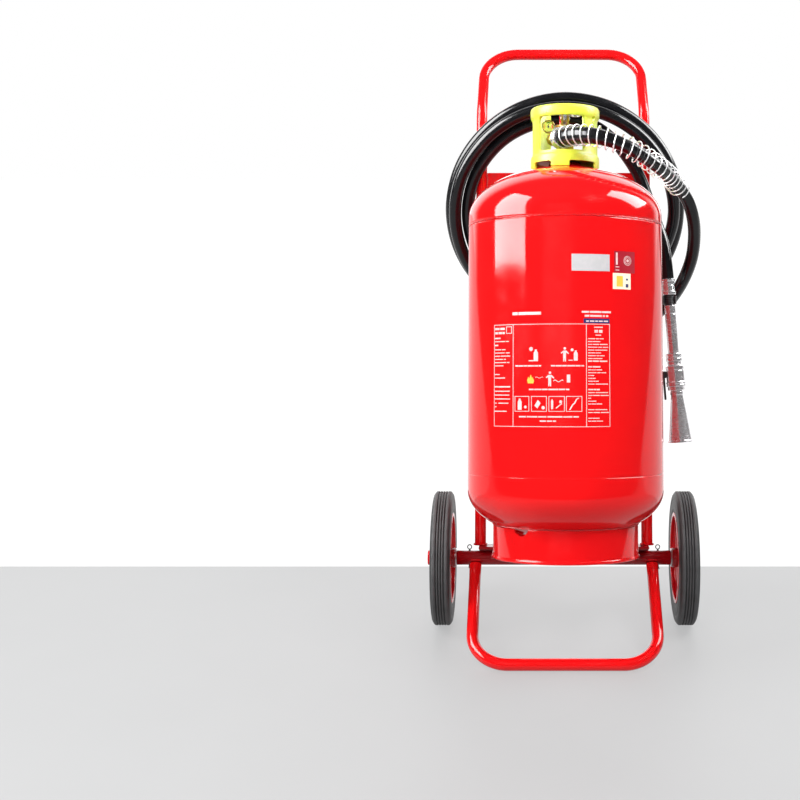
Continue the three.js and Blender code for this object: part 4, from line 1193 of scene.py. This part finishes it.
def make_valve():
    make_valve_body()
    stem = eased([(0, 689.4), (7.4, 689.4), (7.4, 693), (2.2, 693.6), (2.2, 736.3), (0, 736.3)], 0.5, 2)
    piece("poppet_turned", lathe(stem, 40), BOTTLE, STEEL, "poppet", "valve_poppet")
    lever = bevelled(cad_shape("opening_lever", BOTTLE), 0.45, 2, 50)
    piece("opening_lever_pressed", lever, BOTTLE, CHROME, "opening_lever", "opening_lever")
    head = [(2.6, 8), (3.4, 7.5), (3.4, 6.8), (2.05, 6.7)]
    rivet = [(0, -8)] + [(r, -x) for r, x in head] + list(reversed(head)) + [(0, 8)]
    rivet = turned(lathe(eased(rivet, 0.3, 2), 32), "x")
    piece("lever_rivet", shifted(rivet, z=HINGE_Z), BOTTLE, STEEL, replaces="lever_pivot")

    # The safety pin is one wire: a shank through the ears and a ring to pull.
    angles = [math.radians(a) for a in range(0, 360, 10)]
    ring = [Vector((18 - 7 * math.cos(a), 7 * math.sin(a), SAFETY_Z)) for a in angles]
    pin = together(between((-9, 0, SAFETY_Z), (11.4, 0, SAFETY_Z), 1.25, 20), loop_tube(ring, 1.0, 12))
    piece("safety_pin_wire", pin, BOTTLE, STEEL, "safety_pin", "safety_pin")
    make_gauge()
    make_outlet()


def make_gauge():
    """The gauge, drawn about Z with its face towards +Z, then turned to face the front."""
    place = BOTTLE @ placed(-28, -12, 729) @ Matrix.Rotation(math.pi / 2, 4, "X")
    cup = [(0, -6), (9.6, -6), (10.2, -5), (10.2, 2.4), (10.6, 3), (10.6, 6), (9.4, 6), (9.4, 2), (0, 2)]
    case = lathe(eased(cup, 0.5, 3), 72)
    bend = Vector((0, -1.5, -12))
    inlet = together(between((0, bend.y, 0), bend, 3.5), ball(*bend, 4.2),
                     between(bend, (10.7, bend.y, bend.z), 3.5))
    nut = spun(bevelled(prism(hexagon(6.2), 4, 8.6), 0.5, 2), 90, "Y")
    piece("gauge_case", together(case, inlet, shifted(nut, *bend)), place, BRASS, replaces="gauge_body")
    dial = lathe(eased([(0, 2.3), (9, 2.3), (9, 2.9), (0, 2.9)], 0.2, 2), 64)
    # The dial's yellow-green is a painted reflection of the yellow guard round it.
    piece("gauge_dial_plate", dial, place, GUARD_TINTED_DIAL, replaces="gauge_dial")
    for name, start, end, material in (
            ("dial_low", 150, 215, AMBER), ("dial_ready", 62, 118, GREEN), ("dial_high", -35, 30, RED)):
        outline = arc(0, 0, 7.6, start, end, 10) + arc(0, 0, 5.6, end, start, 10)
        piece(name, prism(outline, 2.92, 3.0), place, material)
    lens = eased([(0, 5.0), (9.3, 5.0), (9.3, 5.4), (6, 5.75), (0, 5.9)], 0.2, 2)
    piece("gauge_window", lathe(lens, 64), place, GLASS, replaces="gauge_lens")
    hand = [(-0.8, -3), (0.8, -3), (0.5, 0), (0.22, 7.3), (-0.22, 7.3), (-0.5, 0)]
    boss = lathe(eased([(0, 3.1), (1.5, 3.1), (1.5, 4.0), (0, 4.0)], 0.3, 2), 32)
    whole = together(bevelled(prism(hand, 3.2, 3.7), 0.1, 1), boss)
    piece("gauge_hand", whole, place, BLACK, "gauge_needle", "gauge_needle")


def make_outlet():
    """The elbow from the valve's port to the hose, and the ferrule that couples them."""
    corner = PORT_WAY * ELBOW + Vector((0, 0, PORT_Z))
    near = PORT_WAY * 15.1 + Vector((0, 0, PORT_Z))
    end = corner + HOSE_WAY * 13
    elbow = fused(between(near, corner, 8.5), ball(*corner, 10.5), between(corner, end, 9.5))
    bores = [between(near - PORT_WAY * 4, corner, 5), between(corner, corner + HOSE_WAY * 20, 5)]
    piece("outlet_elbow_cast", cut(elbow, *bores), BOTTLE, BRASS, replaces="outlet_elbow")
    rings = [(5, 0.3), (16.4, 0.3), (18, 1.9), (18, 3.4), (16.8, 4.2), (16.8, 8), (18, 8.9), (18, 10.6),
             (16.8, 12), (5, 12)]
    nut = moved(lathe(eased(rings, 0.4, 2), 72), Matrix.Translation(end) @ from_z(HOSE_WAY))
    piece("coupling_ferrule", nut, BOTTLE, CHROME, replaces="coupling_nut")


# ---------- discharge gun ----------

# Profiles down the gun from the hose, as (radius, height) pairs below its top end.
FERRULE = [(5, 0), (11.4, 0), (12.4, -1), (12.4, -3.6), (11.4, -4.6), (11.4, -9.4), (11.0, -10),
           (11.0, -11.4), (11.4, -12), (11.4, -21), (12.4, -22), (12.4, -27), (11.6, -28), (5, -28)]
SLEEVE = [(5, -28.3), (9, -28.3)]
for z in (-29.6, -32.7, -35.8, -38.9, -42.0):
    SLEEVE += [(9, z), (8.3, z - 0.5), (8.3, z - 1.3), (9, z - 1.8)]
SLEEVE += [(9, -46), (5, -46)]
BARREL = [(5, -46.3), (9.2, -46.3), (9.6, -47), (9.6, -60), (9.3, -60.5), (9.3, -61.5), (9.6, -62),
          (9.6, -129.4), (9.2, -130), (5, -130)]
COLLAR = [(5, -130.3), (13.2, -130.3), (14, -131.2), (14, -135.5), (13.3, -136), (13.3, -138.4), (14, -139),
          (14, -143.2), (13.2, -144), (5, -144)]
HORN = [(10.5, -194.3), (10.5, -196), (11.4, -197), (11.4, -201), (10.6, -203), (19.7, -279.6),
        (20.6, -280.6), (21.4, -281.6), (21.4, -283), (20.6, -284), (19.2, -284), (18.6, -281), (9, -206),
        (5, -203), (5, -194.3)]
GUN_BODY = [(12, -144.3), (12, -149.6), (13.4, -151.2), (15.8, -152.6), (15.8, -158), (15.3, -158.5),
            (15.3, -160), (15.8, -160.5), (15.8, -178.4), (16.4, -179.4), (17, -180.4), (17, -182.8),
            (16.3, -183.3), (16.3, -184.2), (17, -184.7), (17, -186.6), (16, -187.4), (14.8, -188),
            (14.8, -193.4), (14.2, -194), (5, -194)]


def make_gun():
    for name, profile, material, node in (
            ("hose_ferrule_turned", FERRULE, CHROME, "hose_ferrule"),
            ("gun_sleeve_ribbed", SLEEVE, BLACK, "gun_sleeve"),
            ("gun_barrel_drawn", BARREL, NOZZLE, "gun_barrel"),
            ("gun_collar_turned", COLLAR, CHROME, "gun_collar"),
            ("gun_nozzle_spun", HORN, NOZZLE, "gun_nozzle")):
        piece(name, lathe(eased(profile, 0.45, 2), 96), GUN, material, replaces=node)

    z = -166
    cavity = [(5, z - 9.3), (8.6, z - 6.2), (10.6, z), (8.6, z + 6.2), (5, z + 9.3), (5, -144.3)]
    body = cut(lathe(eased(GUN_BODY + cavity, 0.45, 2), 96), between((-20, 0, z), (-9, 0, z), 3.4))
    piece("gun_body_turned", body, GUN, NOZZLE, replaces="gun_valve_body")
    port = bevelled(cut(ball(0, 0, z, 9.6, 48), up_the_middle(z - 12, z + 12, 4.5)), 0.3, 1)
    piece("gun_ball_ground", port, GUN, CHROME, "gun_valve", "gun_ball")
    hub = [(0, -22), (5.4, -22), (6, -21.4), (6, -16.1), (3, -16.1), (3, -10), (0, -10)]
    hub = shifted(turned(lathe(eased(hub, 0.5, 2), 40), "x"), z=z)
    blade = [(-4.5, z), (-3.6, z - 36)] + arc(0, z - 40, 3.5, 180, 360, 12) + [(3.6, z - 36), (4.5, z)]
    lever = together(hub, bevelled(side_prism(blade, -22, -18.5), 0.8, 3))
    piece("gun_lever_moulded", lever, GUN, BLACK, "gun_valve", "gun_lever")
    clip = bevelled(cad_shape("gun_clip", TRUCK), 0.4, 2)
    piece("gun_clip_sprung", clip, TRUCK, BLACK, replaces="gun_clip")


# ---------- hidden parts keep their CAD shape ----------

def dress_hidden():
    for node, material in (("powder_charge", POWDER), ("dip_tube", WHITE)):
        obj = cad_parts[node]
        obj.data.materials.clear()
        obj.data.materials.append(material)


# ---------- studio ----------

SKY_FRONT = 0.12
SKY_BACK = 2.4
SKY_FADE = (0.58, 0.8)
FLOOR_BACK = 0.232
FLOOR_GLOW = 6.5
# name, place, aimed at, width, height, watts, whether it lights surfaces and shows in gloss, roll
LIGHTS = (
    ("key_left", (-1.95, -0.75, 2.0), (0, -0.1, 0.6), 1.2, 1.7, 62, (True, False), 0),
    ("left_panel", (-1.95, -0.58, 2.155), (0, -0.58, 2.155), 1.74, 2.3, 260, (False, True), 17),
    ("right_panel", (1.8, 0.35, 2.2), (0, 0.35, 2.2), 1.15, 2.05, 130, (False, True), 12),
    ("top_right", (1.1, -1.0, 2.3), (0, -0.1, 0.7), 0.9, 0.7, 36, (True, False), 0),
    ("front_fill", (-0.6, -3.4, 2.2), (0, 0, 0.5), 2.2, 1.6, 78, (True, False), 0),
    ("floor_wash", (0.0, -1.0, 3.4), (0, -1.0, 0), 4.0, 3.0, 60, (True, False), 0),
)


def soft_light(name, location, target, width, height, power, acts, roll):
    data = bpy.data.lights.new(name, "AREA")
    data.shape = "RECTANGLE"
    data.size = width
    data.size_y = height
    data.energy = power
    light = bpy.data.objects.new(name, data)
    light.visible_diffuse, light.visible_glossy = acts
    light.location = location
    aim = (Vector(target) - Vector(location)).to_track_quat("-Z", "Y")
    light.rotation_euler = (aim @ Quaternion((0, 0, 1), math.radians(roll))).to_euler()
    bpy.context.scene.collection.objects.link(light)


def make_floor():
    """A pale floor sheet before a white backdrop. Both glow, so that they come out evenly pale."""
    sheet = Nodes("floor_sheet")
    tone = sheet.mix(sheet.noise(5.0, 4), (0.07, 0.0705, 0.071), (0.073, 0.0735, 0.074))
    sheet.set(Base_Color=tone, Roughness=0.6, Emission_Color=tone, Emission_Strength=FLOOR_GLOW)
    paper = Nodes("backdrop_paper")
    paper.set(Base_Color=(0.02, 0.02, 0.02), Roughness=0.9, Emission_Strength=1.0,
              Emission_Color=paper.mix(paper.noise(2.0, 2), (0.99, 0.99, 0.99), (1.0, 1.0, 1.0)))
    for name, y0, y1, z, material in (("floor_sheet", -4.5, FLOOR_BACK, 0.0, sheet.material),
                                      ("backdrop_floor", 0.2, 7.0, -0.001, paper.material)):
        points = [Vector((x, y, z)) for x, y in ((-5, y0), (5, y0), (5, y1), (-5, y1))]
        mesh = bpy.data.meshes.new(name)
        mesh.from_pydata(points, [], [(0, 1, 2, 3)])
        mesh.materials.append(material)
        obj = bpy.data.objects.new(name, mesh)
        bpy.context.scene.collection.objects.link(obj)


def make_sky():
    """A soft sky that is dim in front and bright behind, and white where the camera sees it."""
    world = bpy.data.worlds.new("studio_world")
    world.use_nodes = True
    nodes, links = world.node_tree.nodes, world.node_tree.links
    way = nodes.new("ShaderNodeTexCoord").outputs["Generated"]
    parts = nodes.new("ShaderNodeSeparateXYZ")
    links.new(way, parts.inputs[0])
    fade = nodes.new("ShaderNodeMapRange")
    fade.interpolation_type = "SMOOTHSTEP"
    links.new(parts.outputs[1], fade.inputs["Value"])
    for key, value in (("From Min", SKY_FADE[0]), ("From Max", SKY_FADE[1]),
                       ("To Min", SKY_FRONT), ("To Max", SKY_BACK)):
        fade.inputs[key].default_value = value
    seen = nodes.new("ShaderNodeLightPath").outputs["Is Camera Ray"]
    choose = nodes.new("ShaderNodeMix")
    links.new(seen, choose.inputs["Factor"])
    links.new(fade.outputs[0], choose.inputs[2])
    choose.inputs[3].default_value = 1.0
    back = nodes["Background"]
    back.inputs["Color"].default_value = (1, 1, 1, 1)
    links.new(choose.outputs[0], back.inputs["Strength"])
    bpy.context.scene.world = world


make_frame()
make_axle()
make_wheels()
make_cylinder()
make_label()
make_guard()
make_valve()
make_gun()
dress_hidden()
make_floor()
make_sky()
bpy.context.scene.view_settings.view_transform = "Standard"
for light in LIGHTS:
    soft_light(*light)
